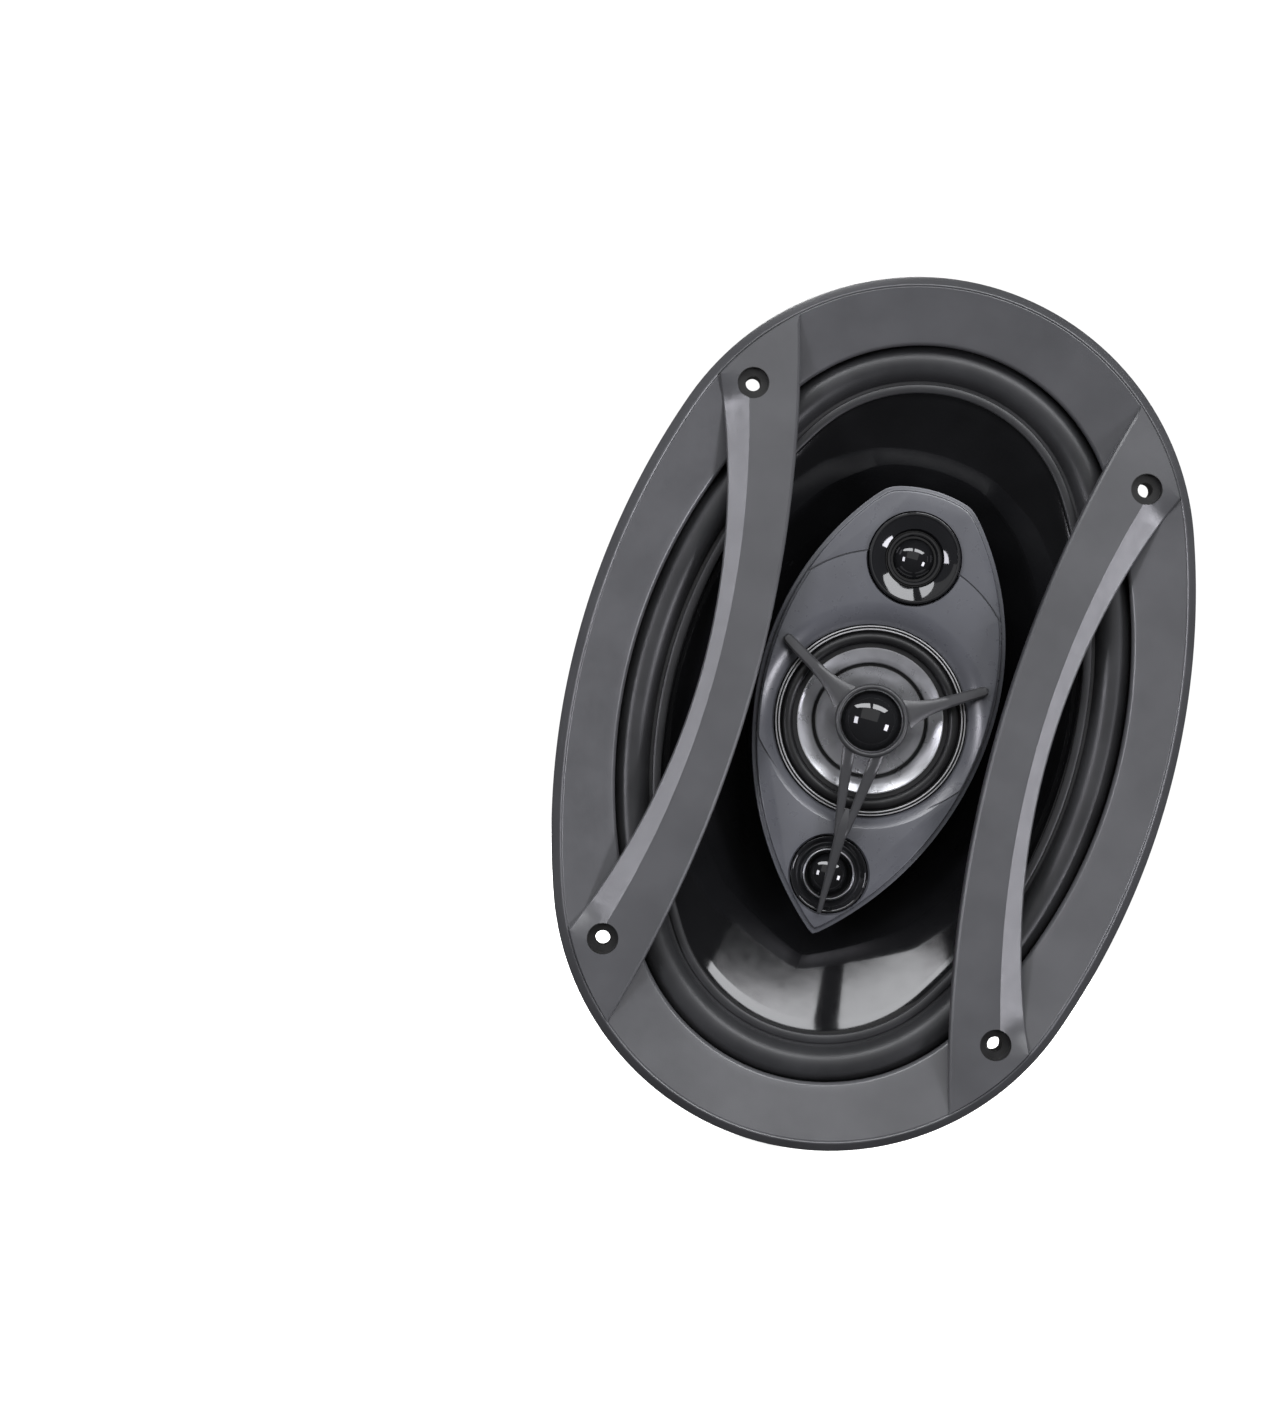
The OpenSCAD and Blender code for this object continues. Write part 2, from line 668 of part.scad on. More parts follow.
// ---------------------------------------------------------------- midrange

module at_mid() {
    face() translate([0, mid_y, 0]) children();
}

module mid_basket() {
    cup = 14;
    mouth = mid_cone_r + 0.5;
    color([0.1, 0.1, 0.11]) at_mid() rotate_extrude() polygon([
        [mid_gap_r, mid_plate_z], [cup + mid_steel, mid_plate_z], [mouth + mid_steel, -2.4],
        [mouth + mid_steel, 0], [mid_r - 0.2, 0], [mid_r - 0.2, mid_steel + 0.2],
        [mouth, mid_steel + 0.2], [mouth, -1.6], [cup, mid_floor_z], [mid_gap_r, mid_floor_z]]);
}

mid_land = 1.05;
module mid_surround() {
    roll = 1.7;
    at = mid_r - 3.4;
    color([0.06, 0.06, 0.06]) at_mid() rotate_extrude() {
        difference() {
            translate([at, mid_land]) circle(roll, $fn = 48);
            translate([at, mid_land]) circle(roll - 0.3, $fn = 48);
            translate([at - 3, mid_land - 6]) square([6, 6]);
        }
        translate([at + roll - 0.3, mid_land]) square([1.6, 0.3]);
        translate([at - roll - 1.2, mid_land]) square([1.5, 0.3]);
    }
}

module mid_cone() {
    top = mid_land - glue;
    neck = mid_coil_r + 0.25;
    deep = -4.6;
    groove_r = 16;
    slope = (top - 0.5 - deep) / (mid_cone_r - 1.2 - neck);
    groove = deep + slope * (groove_r - neck);
    color([0.75, 0.76, 0.78]) at_mid() rotate_extrude() polygon([
        [neck, deep], [neck, deep + 0.5],
        [groove_r - 0.4, groove + 0.5], [groove_r, groove + 0.25], [groove_r + 0.4, groove + 0.75],
        [mid_cone_r - 1.2, top], [mid_cone_r, top], [mid_cone_r, top - 0.5], [mid_cone_r - 1.2, top - 0.5]]);
}

module mid_spider() {
    z = -6.5;
    inner = mid_coil_r + 0.3;
    outer = 14.2;
    n = 24;
    function ripple(i) = 0.35 * sin(360 * 3 * i / n);
    top = [for (i = [0 : n]) [inner + (outer - inner) * i / n, z + 0.3 + ripple(i)]];
    low = [for (i = [n : -1 : 0]) [inner + (outer - inner) * i / n, z + ripple(i)]];
    color([0.75, 0.65, 0.4]) at_mid() rotate_extrude() polygon(concat(top, low));
}

module mid_former() {
    color([0.7, 0.5, 0.3]) at_mid() tube(mid_magnet_z - 0.9, -3.8, mid_coil_r + 0.2, mid_coil_r);
}

module mid_coil() {
    color([0.72, 0.36, 0.16]) at_mid() tube(mid_magnet_z - 0.7, mid_plate_z + 0.7, mid_coil_r + 0.7, mid_coil_r + 0.2);
}

module mid_top_plate() {
    color("silver") at_mid() tube(mid_magnet_z, mid_plate_z, 13, mid_gap_r);
}

module mid_magnet() {
    color([0.15, 0.15, 0.16]) at_mid() tube(mid_back_z, mid_magnet_z, 13, mid_gap_r + 1.5);
}

module mid_back_plate() {
    color("silver") at_mid() difference() {
        union() {
            translate([0, 0, mid_rear_z]) cylinder(r = 12.5, h = mid_back_z - mid_rear_z);
            translate([0, 0, mid_rear_z]) cylinder(r = mid_coil_r - 0.45, h = mid_plate_z - mid_rear_z);
        }
        translate([0, 0, mid_rear_z - 1]) cylinder(r = mid_stem_r + 0.05, h = 20);
    }
}

module mid_bezel() {
    low = mid_land + 0.35;
    color([0.5, 0.5, 0.52]) at_mid() rotate_extrude() polygon([
        [mid_r - 1.5, low], [mid_r - 1.5, low + 0.9], [mid_r - 1.1, low + 1.3], [mid_r - 0.8, low + 0.9],
        [mid_r - 0.5, low + 1.3], [mid_r - 0.05, low + 0.9], [mid_r - 0.05, mid_steel + 0.25],
        [mid_r - 0.35, mid_steel + 0.25], [mid_r - 0.35, low]]);
}

// ---------------------------------------------------------------- tweeters

// A spherical cap shell whose rim, of radius r, lies at height z.
module dome(r, rise, z, t = 0.4) {
    s = (r * r + rise * rise) / (2 * rise);
    translate([0, 0, z]) intersection() {
        translate([0, 0, rise - s]) difference() {
            sphere(r = s, $fn = 128);
            sphere(r = s - t, $fn = 128);
        }
        cylinder(r = r + 1, h = rise + 1);
    }
}

module hub_tweeter_body() {
    color([0.1, 0.1, 0.1]) at_mid() rotate_extrude() polygon([
        [0, mid_rear_z], [mid_stem_r, mid_rear_z], [mid_stem_r, 2.2], [hub_dome_r + 0.8, 2.2],
        [hub_dome_r + 0.8, hub_z], [hub_dome_r, hub_z], [hub_dome_r, 3.4], [0, 3.4]]);
}

module hub_tweeter_magnet() {
    color("silver") at_mid() translate([0, 0, 3.4]) cylinder(r = hub_dome_r - 1.8, h = 3.2);
}

module hub_tweeter_dome() {
    color([0.03, 0.03, 0.035]) at_mid() dome(hub_dome_r + 0.5, 3.6, hub_z + 0.3);
}

guard_t = 2.6;
module guard_arm(from, to, r_from, r_to, z_from, z_to) {
    hull() {
        translate([from[0], from[1], z_from]) cylinder(r = r_from, h = guard_t, $fn = 24);
        translate([to[0], to[1], z_to]) cylinder(r = r_to, h = guard_t, $fn = 24);
    }
}

module guard() {
    foot_z = pod_face_z + shield_t + 0.02;
    tip_z = pod_face_z + 0.02;
    hub_r = hub_dome_r + 1.1;
    arm_tip = [29, 16.5];
    color([0.4, 0.4, 0.43]) at_mid() difference() {
        union() {
            translate([0, 0, guard_z]) cylinder(r = hub_r + 1.5, h = guard_t + 1);
            for (sx = [-1, 1]) {
                guard_arm([sx * 9.3, 5], [sx * arm_tip[0], arm_tip[1]], 2.6, 1.3, guard_z, foot_z);
                guard_arm([sx * 3.7, -9.8], [sx * 1.2, -29], 1.7, 1.3, guard_z, guard_z - 0.8);
            }
            guard_arm([0, -29], [0, -56.5], 2.3, 1, guard_z - 0.8, tip_z);
        }
        translate([0, 0, guard_z - 1]) cylinder(r = hub_r, h = 6);
    }
}

module tweeter_magnet(y, r, h) {
    face() translate([0, y, -2.6 - h]) cylinder(r = r, h = h);
}

module top_tweeter_horn() {
    lip = pod_face_z + 1.3;
    color([0.04, 0.04, 0.045]) face() translate([0, top_y, 0]) rotate_extrude() polygon([
        [0, -2.6], [top_r, -2.6], [top_r, lip - 0.4], [top_r - 0.4, lip], [top_r - 1.2, lip - 0.2],
        [top_r - 3, lip - 3], [dome_r + 2, -0.4], [dome_r + 1.8, 1.2], [dome_r + 0.9, 1.2],
        [dome_r + 0.6, -1.2], [0, -1.2]]);
}

module top_tweeter_magnet() {
    color("silver") tweeter_magnet(top_y, 8.5, 5);
}

module top_tweeter_dome() {
    color([0.03, 0.03, 0.035]) face() translate([0, top_y, 0]) dome(dome_r, 2.8, -0.8);
}

module low_tweeter_cup() {
    lip = pod_face_z;
    color([0.04, 0.04, 0.045]) face() translate([0, low_y, 0]) rotate_extrude() polygon([
        [0, -2.6], [low_r, -2.6], [low_r, lip - 0.6], [low_r - 0.8, lip - 0.8],
        [dome_r + 2.1, 0.4], [dome_r + 0.8, 0.4], [dome_r + 0.6, -1.2], [0, -1.2]]);
}

module low_tweeter_ring() {
    color([0.7, 0.7, 0.72]) face() translate([0, low_y, 0]) tube(0.42, 1.9, dome_r + 1.7, dome_r + 0.8);
}

module low_tweeter_magnet() {
    color("silver") tweeter_magnet(low_y, 6.5, 3.2);
}

module low_tweeter_dome() {
    color([0.03, 0.03, 0.035]) face() translate([0, low_y, 0]) dome(dome_r, 2.6, -0.8);
}

// ---------------------------------------------------------------- trim ring

// Height of the dished face at an offset inside the ring's outer oval.
function dish_z(d) = ring_h - dish_drop * (d - rim_inset) / (end_band - rim_inset);

// A flaring shape between two offsets of the ring's oval.
module ring_flare(d_low, z_low, d_high, z_high) {
    hull() {
        slab(z_low, z_low + eps) ring_2d(d_low);
        slab(z_high - eps, z_high) ring_2d(d_high);
    }
}

module ring_band() {
    edge_z = ring_h - 3.5;
    skirt_t = 2.2;
    difference() {
        union() {
            slab(0.3, edge_z) ring_2d(0);
            ring_flare(0, edge_z - eps, -rim_inset + 0.4, ring_h);
        }
        ring_flare(-band_reach, dish_z(band_reach), -rim_inset, ring_h + eps);
        difference() {
            slab(0, ring_h - ring_t) ring_2d(-skirt_t);
            ring_flare(-band_reach, dish_z(band_reach) - ring_t, -rim_inset, ring_h - ring_t + eps);
        }
        slab(-1, 2 * ring_h) mouth_2d(0);
    }
}

// One bar's outline, on the right-hand side.
module bar_2d() {
    intersection() {
        ring_2d(-rim_inset);
        translate([0, -ring_b]) square([ring_a, 2 * ring_b]);
        difference() {
            translate([bar_half_gap + bar_in_r, 0]) circle(bar_in_r, $fn = 360);
            translate([bar_out_x + bar_out_r, 0]) circle(bar_out_r, $fn = 360);
        }
    }
}

module bar() {
    intersection() {
        difference() {
            union() {
                slab(bar_h - bar_t, bar_h) bar_2d();
                slab(ring_h - dish_drop - 1, bar_h) difference() {
                    bar_2d();
                    mouth_2d(1);
                }
            }
            // sloped facet along the outer edge
            translate([facet_x, 0, bar_h - 8])
                cylinder(r1 = facet_x - crease_x - 8 * facet_run, r2 = facet_x - crease_x + facet_run,
                    h = 9, $fn = 720);
        }
        // gentle crown along the bar
        rotate([90, 0, 90]) linear_extrude(ring_a) polygon(concat(
            [for (i = [-12 : 12]) let (y = ring_b * i / 12) [y, bar_h - y * y / (2 * crown_r)]],
            [[ring_b, 0], [-ring_b, 0]]));
    }
}

module trim_ring() {
    color([0.33, 0.33, 0.34]) face() difference() {
        union() {
            ring_band();
            bar();
            mirror([1, 0, 0]) bar();
            at_holes() {
                translate([0, 0, steel_t + 0.1]) cylinder(r = screw_boss_r, h = ring_h - steel_t - 2.5);
                // sleeve that passes through the ear's slot to the mounting plane
                cylinder(d = slot_w - 0.4, h = ring_h - 2.5);
            }
        }
        at_holes() {
            translate([0, 0, -1]) cylinder(d = screw_hole_d, h = 40, $fn = 48);
            translate([0, 0, ring_h - 2.5]) cylinder(d = head_recess_d, h = 20, $fn = 64);
        }
    }
}

basket();
basket_rivets();
gasket();
surround();
cone();
spider();
coil_former();
voice_coil();
tinsel_leads();
top_plate();
magnet();
back_plate();
magnet_boot();
terminal_board();
terminal_rivets();
terminal_positive();
terminal_negative();
pod_post();
pod_rear();
pod_face();
pod_screws();
pod_leads();
crossover_capacitors();
mid_basket();
mid_surround();
mid_cone();
mid_spider();
mid_former();
mid_coil();
mid_top_plate();
mid_magnet();
mid_back_plate();
mid_bezel();
hub_tweeter_body();
hub_tweeter_magnet();
hub_tweeter_dome();
guard();
top_tweeter_horn();
top_tweeter_magnet();
top_tweeter_dome();
low_tweeter_cup();
low_tweeter_ring();
low_tweeter_magnet();
low_tweeter_dome();
trim_ring();
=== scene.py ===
from math import asin, atan2, cos, exp, hypot, log, pi, radians, sin, sqrt

import bmesh
import bpy
from mathutils import Matrix, Vector

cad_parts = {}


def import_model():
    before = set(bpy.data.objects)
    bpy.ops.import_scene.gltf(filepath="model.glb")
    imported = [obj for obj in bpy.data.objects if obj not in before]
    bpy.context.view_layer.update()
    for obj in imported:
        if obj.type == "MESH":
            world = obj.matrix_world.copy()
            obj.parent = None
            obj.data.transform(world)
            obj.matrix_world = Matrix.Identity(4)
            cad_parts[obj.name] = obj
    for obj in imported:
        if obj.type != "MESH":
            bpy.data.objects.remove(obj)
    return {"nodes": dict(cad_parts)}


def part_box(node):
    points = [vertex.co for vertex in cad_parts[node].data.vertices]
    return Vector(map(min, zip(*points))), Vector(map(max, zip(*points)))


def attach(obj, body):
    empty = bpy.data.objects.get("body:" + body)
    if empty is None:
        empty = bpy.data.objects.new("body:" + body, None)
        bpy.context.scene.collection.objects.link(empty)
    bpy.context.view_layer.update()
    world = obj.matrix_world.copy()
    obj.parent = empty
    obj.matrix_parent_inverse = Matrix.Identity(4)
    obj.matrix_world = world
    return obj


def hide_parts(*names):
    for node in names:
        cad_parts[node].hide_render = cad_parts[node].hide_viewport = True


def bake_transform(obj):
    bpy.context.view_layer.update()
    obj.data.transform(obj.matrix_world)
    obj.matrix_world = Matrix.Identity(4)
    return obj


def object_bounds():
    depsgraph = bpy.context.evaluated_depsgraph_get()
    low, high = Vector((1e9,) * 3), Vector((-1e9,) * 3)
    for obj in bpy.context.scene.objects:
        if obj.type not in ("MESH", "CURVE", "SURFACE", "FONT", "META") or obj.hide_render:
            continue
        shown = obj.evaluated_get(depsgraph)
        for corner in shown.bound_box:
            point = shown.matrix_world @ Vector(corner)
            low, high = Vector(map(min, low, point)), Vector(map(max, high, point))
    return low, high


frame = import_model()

cad_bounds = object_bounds()
MM = 0.001
TAU = 2 * pi
STATIONS = 240          # steps round an oval, a multiple of the six basket sectors


def point(x, y, z):
    return Vector((x, -z, y)) * MM


def around(turn, r, z):
    """The point at the radius r and the height z, turned from the x axis."""
    return point(r * cos(turn), r * sin(turn), z)


def reach(node, axis, side):
    """How far a CAD node reaches, in mm, along this file's x, y or z: side 0 is low and 1 is high."""
    low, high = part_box(node)
    values = {"x": (low[0], high[0]), "y": (low[2], high[2]), "z": (-high[1], -low[1])}[axis]
    return values[side] / MM


def smoothstep(t):
    t = min(max(t, 0.0), 1.0)
    return t * t * (3 - 2 * t)


def lerp(a, b, t):
    return a + (b - a) * t


# ------------------------------------------------------------------ outlines

class Oval:
    """A four-arc oval of half width a and half height b, whose end arcs have the radius end."""

    def __init__(self, a, b, end):
        self.a, self.b, self.end = a, b, end
        self.up = b - end
        self.round = abs(a - end) < 1e-6
        self.side = a if self.round else (a * a + b * b - 2 * b * end) / (2 * (a - end))
        self.back = self.side - a
        lean = atan2(self.up, self.back)
        self.join = atan2(self.up + end * sin(lean), end * cos(lean))

    def grow(self, d):
        return Oval(self.a + d, self.b + d, self.end + d)

    def towards(self, other, t):
        return Oval(lerp(self.a, other.a, t), lerp(self.b, other.b, t), lerp(self.end, other.end, t))

    def radius(self, turn):
        """Distance from the centre to the oval in the direction turn."""
        c, s = abs(cos(turn)), abs(sin(turn))
        if self.round:
            return self.a
        if atan2(s, c) > self.join:
            return self.up * s + sqrt(self.end ** 2 - (self.up * c) ** 2)
        return -self.back * c + sqrt(self.side ** 2 - (self.back * s) ** 2)

    def at(self, turn):
        r = self.radius(turn)
        return r * cos(turn), r * sin(turn)

    def inside(self, x, y):
        """How far a point lies inside the oval, negative outside it."""
        x, y = abs(x), abs(y)
        if (y - self.up) * self.back >= x * self.up:
            return self.end - hypot(x, y - self.up)
        return self.side - hypot(x + self.back, y)

    def edge_x(self, y):
        """Half width of the oval at the height y."""
        y = abs(y)
        if y - self.up > self.end * sin(atan2(self.up, self.back)):
            return sqrt(max(self.end ** 2 - (y - self.up) ** 2, 0))
        return -self.back + sqrt(self.side ** 2 - y * y)


def turns(n, start=0.0):
    return [start + TAU * i / n for i in range(n)]


def circle_points(x, y, r, n=48):
    return [(x + r * cos(a), y + r * sin(a)) for a in turns(n)]


def hull_of(points):
    """Convex hull of 2D points, anticlockwise."""
    points = sorted(set((round(x, 6), round(y, 6)) for x, y in points))

    def half(row):
        out = []
        for p in row:
            while len(out) > 1 and (out[-1][0] - out[-2][0]) * (p[1] - out[-2][1]) \
                    <= (out[-1][1] - out[-2][1]) * (p[0] - out[-2][0]):
                out.pop()
            out.append(p)
        return out[:-1]

    return half(points) + half(points[::-1])


def polar(outline, turn):
    """Point where a ray from the centre leaves a convex outline."""
    c, s = cos(turn), sin(turn)
    best = 1e9
    for (x0, y0), (x1, y1) in zip(outline, outline[1:] + outline[:1]):
        nx, ny = y1 - y0, x0 - x1
        across = nx * c + ny * s
        if across > 1e-9:
            best = min(best, (nx * x0 + ny * y0) / across)
    return best * c, best * s


def rounded(corners, steps=4):
    """Closed profile from (u, v, setback) corners, each rounded over its setback's length."""
    out = []
    for i, (u, v, r) in enumerate(corners):
        here = Vector((u, v))
        if r <= 0:
            out.append((u, v))
            continue
        before = Vector(corners[i - 1][:2]) - here
        after = Vector(corners[(i + 1) % len(corners)][:2]) - here
        a = here + before.normalized() * min(r, 0.48 * before.length)
        b = here + after.normalized() * min(r, 0.48 * after.length)
        for k in range(steps + 1):
            t = k / steps
            p = a * (1 - t) ** 2 + here * 2 * t * (1 - t) + b * t * t
            out.append((p.x, p.y))
    return out


# ------------------------------------------------------------------ meshes

def mesh_object(name, verts, faces):
    mesh = bpy.data.meshes.new(name)
    mesh.from_pydata([tuple(v) for v in verts], [], faces)
    bm = bmesh.new()
    bm.from_mesh(mesh)
    bmesh.ops.remove_doubles(bm, verts=bm.verts, dist=2e-6)
    bmesh.ops.recalc_face_normals(bm, faces=bm.faces)
    bm.to_mesh(mesh)
    bm.free()
    obj = bpy.data.objects.new(name, mesh)
    bpy.context.scene.collection.objects.link(obj)
    return obj


def bake(obj):
    """Applies the object's modifiers to its mesh."""
    bpy.context.view_layer.update()
    mesh = bpy.data.meshes.new_from_object(obj.evaluated_get(bpy.context.evaluated_depsgraph_get()))
    old = obj.data
    obj.modifiers.clear()
    obj.data = mesh
    bpy.data.meshes.remove(old)
    return obj


def combine(obj, others, operation):
    """Boolean of obj with each of the others, which are used up."""
    for other in others:
        step = obj.modifiers.new("combine", "BOOLEAN")
        step.operation = operation
        step.solver = "EXACT"
        step.object = other
        bake(obj)
        bpy.data.objects.remove(other)
    return obj


def soften(obj, width, segments=2, angle=40):
    """Rounds the sharp edges."""
    step = obj.modifiers.new("round", "BEVEL")
    step.width = width * MM
    step.segments = segments
    step.limit_method = "ANGLE"
    step.angle_limit = radians(angle)
    step.use_clamp_overlap = True
    return bake(obj)


def quads(rings, n, closed):
    """Faces between successive rings of n points; closed joins the last ring to the first."""
    count = rings if closed else rings - 1
    return [(j * n + i, j * n + (i + 1) % n, (j + 1) % rings * n + (i + 1) % n, (j + 1) % rings * n + i)
            for j in range(count) for i in range(n)]


def caps(rings, n):
    """The two end faces of a stack of rings of n points."""
    last = (rings - 1) * n
    return [tuple(range(n)), tuple(range(last + n - 1, last - 1, -1))]


def lathe(name, profile, y=0.0, n=144):
    """A body of revolution about the axis at the height y, from a profile of (radius, z)."""
    verts = [point(r * cos(a), y + r * sin(a), z) for r, z in profile for a in turns(n)]
    return mesh_object(name, verts, quads(len(profile), n, True))


def oval_sweep(name, profile):
    """Sweeps (oval, z) pairs round the speaker; z may be a function of x and y."""
    verts = []
    for oval, z in profile:
        for a in turns(STATIONS):
            x, y = oval.at(a)
            verts.append(point(x, y, z(x, y) if callable(z) else z))
    return mesh_object(name, verts, quads(len(profile), STATIONS, True))


def plate(name, outline, low, high):
    """A straight-sided plate from an outline."""
    n = len(outline)
    verts = [point(x, y, z) for z in (low, high) for x, y in outline]
    return mesh_object(name, verts, caps(2, n) + quads(2, n, False))


def pin(name, x, y, r_low, low, r_high, high, n=64):
    """A straight or tapered pin."""
    verts = [point(*p, low) for p in circle_points(x, y, r_low, n)]
    verts += [point(*p, high) for p in circle_points(x, y, r_high, n)]
    return mesh_object(name, verts, caps(2, n) + quads(2, n, False))


def shifted(obj, x, y):
    """Moves a mesh across and up, in mm."""
    obj.data.transform(Matrix.Translation(point(x, y, 0)))
    return obj


def tube(name, path, r, n=12):
    """A round wire along a path of points in mm."""
    verts = []
    for i, p in enumerate(path):
        here = Vector(p)
        ahead = (Vector(path[min(i + 1, len(path) - 1)]) - Vector(path[max(i - 1, 0)])).normalized()
        side = ahead.cross(Vector((1, 0, 0))).normalized()
        over = side.cross(ahead)
        verts += [point(*(here + (side * cos(a) + over * sin(a)) * r)) for a in turns(n)]
    return mesh_object(name, verts, quads(len(path), n, False) + caps(len(path), n))


def curve_through(corners, steps):
    """Points of a smooth curve through the corners."""
    p = [Vector(c) for c in corners]
    out = []
    for i in range(len(p) - 1):
        a, b, c, d = p[max(i - 1, 0)], p[i], p[i + 1], p[min(i + 2, len(p) - 1)]
        for k in range(steps):
            t = k / steps
            out.append(0.5 * (2 * b + (c - a) * t + (2 * a - 5 * b + 4 * c - d) * t * t
                              + (3 * b - a - 3 * c + d) * t ** 3))
    return [tuple(q) for q in out + [p[-1]]]


def finish_piece(obj, body, look, nodes, sharp=34):
    """Material, shading, body and CAD nodes of a finished piece."""
    obj.data.materials.clear()
    obj.data.materials.append(look)
    obj.data.shade_smooth()
    obj.data.set_sharp_from_angle(angle=radians(sharp))
    if body:
        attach(obj, body)
    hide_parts(*nodes)
    return obj


def flex(obj, weight):
    """Bakes the piece's transform and works out weight(x, y), each point's share of the stroke; nothing uses
    these shares, so the piece does not bend.
    """
    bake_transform(obj)
    values = [weight(v.co.x / MM, v.co.z / MM) for v in obj.data.vertices]


# ------------------------------------------------------------------ materials

class Look:
    """A Principled material built up by procedural nodes on object coordinates."""

    def __init__(self, name, rough, metal=0.0, ior=1.5):
        self.mat = bpy.data.materials.new(name)
        self.mat.use_nodes = True
        self.tree = self.mat.node_tree
        self.shader = self.tree.nodes["Principled BSDF"]
        self.shader.inputs["Roughness"].default_value = rough
        self.shader.inputs["Metallic"].default_value = metal
        self.shader.inputs["IOR"].default_value = ior
        self.place = self.add("ShaderNodeTexCoord").outputs["Object"]
        self.bump = None

    def add(self, kind, **values):
        node = self.tree.nodes.new(kind)
        for key, value in values.items():
            socket = node.inputs.get(key.replace("_", " "))
            if socket is None:
                setattr(node, key, value)
            else:
                socket.default_value = value
        return node

    def link(self, a, b):
        self.tree.links.new(a, b)

    def maths(self, operation, a, b):
        """Arithmetic between a socket and a socket or a number."""
        node = self.add("ShaderNodeMath", operation=operation)
        self.link(a, node.inputs[0])
        if isinstance(b, (int, float)):
            node.inputs[1].default_value = b
        else:
            self.link(b, node.inputs[1])
        return node.outputs["Value"]

    def noise(self, scale, detail=3.0):
        node = self.add("ShaderNodeTexNoise", Scale=scale, Detail=detail)
        self.link(self.place, node.inputs["Vector"])
        return node.outputs["Fac"]

    def rings(self, y, scale, kind="RINGS"):
        """Fine turned lines about the axis at the height y in mm, or bands along it."""
        mapping = self.add("ShaderNodeMapping")
        mapping.inputs["Location"].default_value = (0, 0, -y * MM)
        wave = self.add("ShaderNodeTexWave", wave_type=kind, Scale=scale, Distortion=0.4, Detail=1.0)
        if kind == "RINGS":
            wave.rings_direction = "Y"
        else:
            wave.bands_direction = "Y"
        self.link(self.place, mapping.inputs["Vector"])
        self.link(mapping.outputs["Vector"], wave.inputs["Vector"])
        return wave.outputs["Fac"]

    def paint_shade(self, mask, colour):
        """Painted shade: turns the base colour to another, darker one where the mask is 1."""
        base = self.shader.inputs["Base Color"].links[0].from_socket
        mix = self.add("ShaderNodeMix", data_type="RGBA")
        self.link(mask, mix.inputs[0])
        self.link(base, mix.inputs[6])
        mix.inputs[7].default_value = (*colour, 1)
        self.link(mix.outputs[2], self.shader.inputs["Base Color"])

    def from_axis(self, source, x, y):
        """Distance in metres from the axis that runs front to back at x and y, in mm."""
        flat = self.add("ShaderNodeMapping")
        flat.inputs["Location"].default_value = (-x * MM, 0, -y * MM)
        flat.inputs["Scale"].default_value = (1, 0, 1)
        self.link(source, flat.inputs["Vector"])
        length = self.add("ShaderNodeVectorMath", operation="LENGTH")
        self.link(flat.outputs["Vector"], length.inputs[0])
        return length.outputs["Value"]

    def near_holes(self, x, y, r):
        """1 within r mm of the four mirrored screw axes."""
        mirror = self.add("ShaderNodeVectorMath", operation="ABSOLUTE")
        self.link(self.place, mirror.inputs[0])
        return self.maths("LESS_THAN", self.from_axis(mirror.outputs["Vector"], x, y), r * MM)

    def lines(self, y, radii, half):
        """1 on thin rings about the axis at the height y and 0 elsewhere, all in mm."""
        distance = self.from_axis(self.place, 0, y)
        total = None
        for r in radii:
            away = self.maths("ABSOLUTE", self.maths("SUBTRACT", distance, r * MM), 0)
            near = self.add("ShaderNodeMapRange", From_Min=half * 0.6 * MM, From_Max=half * 1.4 * MM,
                            To_Min=1, To_Max=0)
            self.link(away, near.inputs["Value"])
            fade = near.outputs["Result"]
            total = fade if total is None else self.maths("MAXIMUM", total, fade)
        return total

    def tones(self, source, dark, light, low=0.35, high=0.65):
        """Base colour between two tones."""
        ramp = self.add("ShaderNodeValToRGB")
        ramp.color_ramp.elements[0].position = low
        ramp.color_ramp.elements[0].color = (*dark, 1)
        ramp.color_ramp.elements[1].position = high
        ramp.color_ramp.elements[1].color = (*light, 1)
        self.link(source, ramp.inputs["Fac"])
        self.link(ramp.outputs["Color"], self.shader.inputs["Base Color"])
        return self

    def rough(self, source, low, high):
        span = self.add("ShaderNodeMapRange", To_Min=low, To_Max=high)
        self.link(source, span.inputs["Value"])
        self.link(span.outputs["Result"], self.shader.inputs["Roughness"])
        return self

    def relief(self, source, strength, height):
        """Adds a bump layer whose full height is in mm."""
        node = self.add("ShaderNodeBump", Strength=strength, Distance=height * MM)
        self.link(source, node.inputs["Height"])
        if self.bump:
            self.link(self.bump, node.inputs["Normal"])
        self.bump = node.outputs["Normal"]
        self.link(self.bump, self.shader.inputs["Normal"])
        return self


def grey(value, tint=0.0):
    """A grey of that brightness, with a little more blue for a positive tint."""
    return (value * (1 - tint), value * (1 - tint * 0.6), value * (1 + tint))


def moulded(name, dark, light, rough=0.5, grain=0.03, ior=1.45, holes=None):
    """Moulded plastic with a fine spark-eroded grain, and painted shade darkening its four screw recesses."""
    look = Look(name, rough, ior=ior)
    look.tones(look.noise(60, 5), dark, light)
    if holes:
        # painted shade: near-black base colour within 4.45 mm of the screw axes, standing in for the shadow
        # inside the recesses
        look.paint_shade(look.near_holes(*holes, 4.45), grey(0.02))
    look.rough(look.noise(420, 4), rough - 0.06, rough + 0.06)
    look.relief(look.noise(2600, 2), 0.55, grain)
    look.relief(look.noise(90, 1), 0.1, grain)
    return look.mat


def glossy(name, value, rough=0.09, ior=1.4, tint=0.05):
    """Gloss plastic with the slight unevenness of a moulded skin."""
    look = Look(name, rough, ior=ior)
    look.tones(look.noise(45, 3), grey(value * 0.8, tint), grey(value * 1.2, tint))
    look.rough(look.noise(300, 4), rough * 0.7, rough * 1.4)
    look.relief(look.noise(120, 2), 0.12, 0.05)
    return look.mat


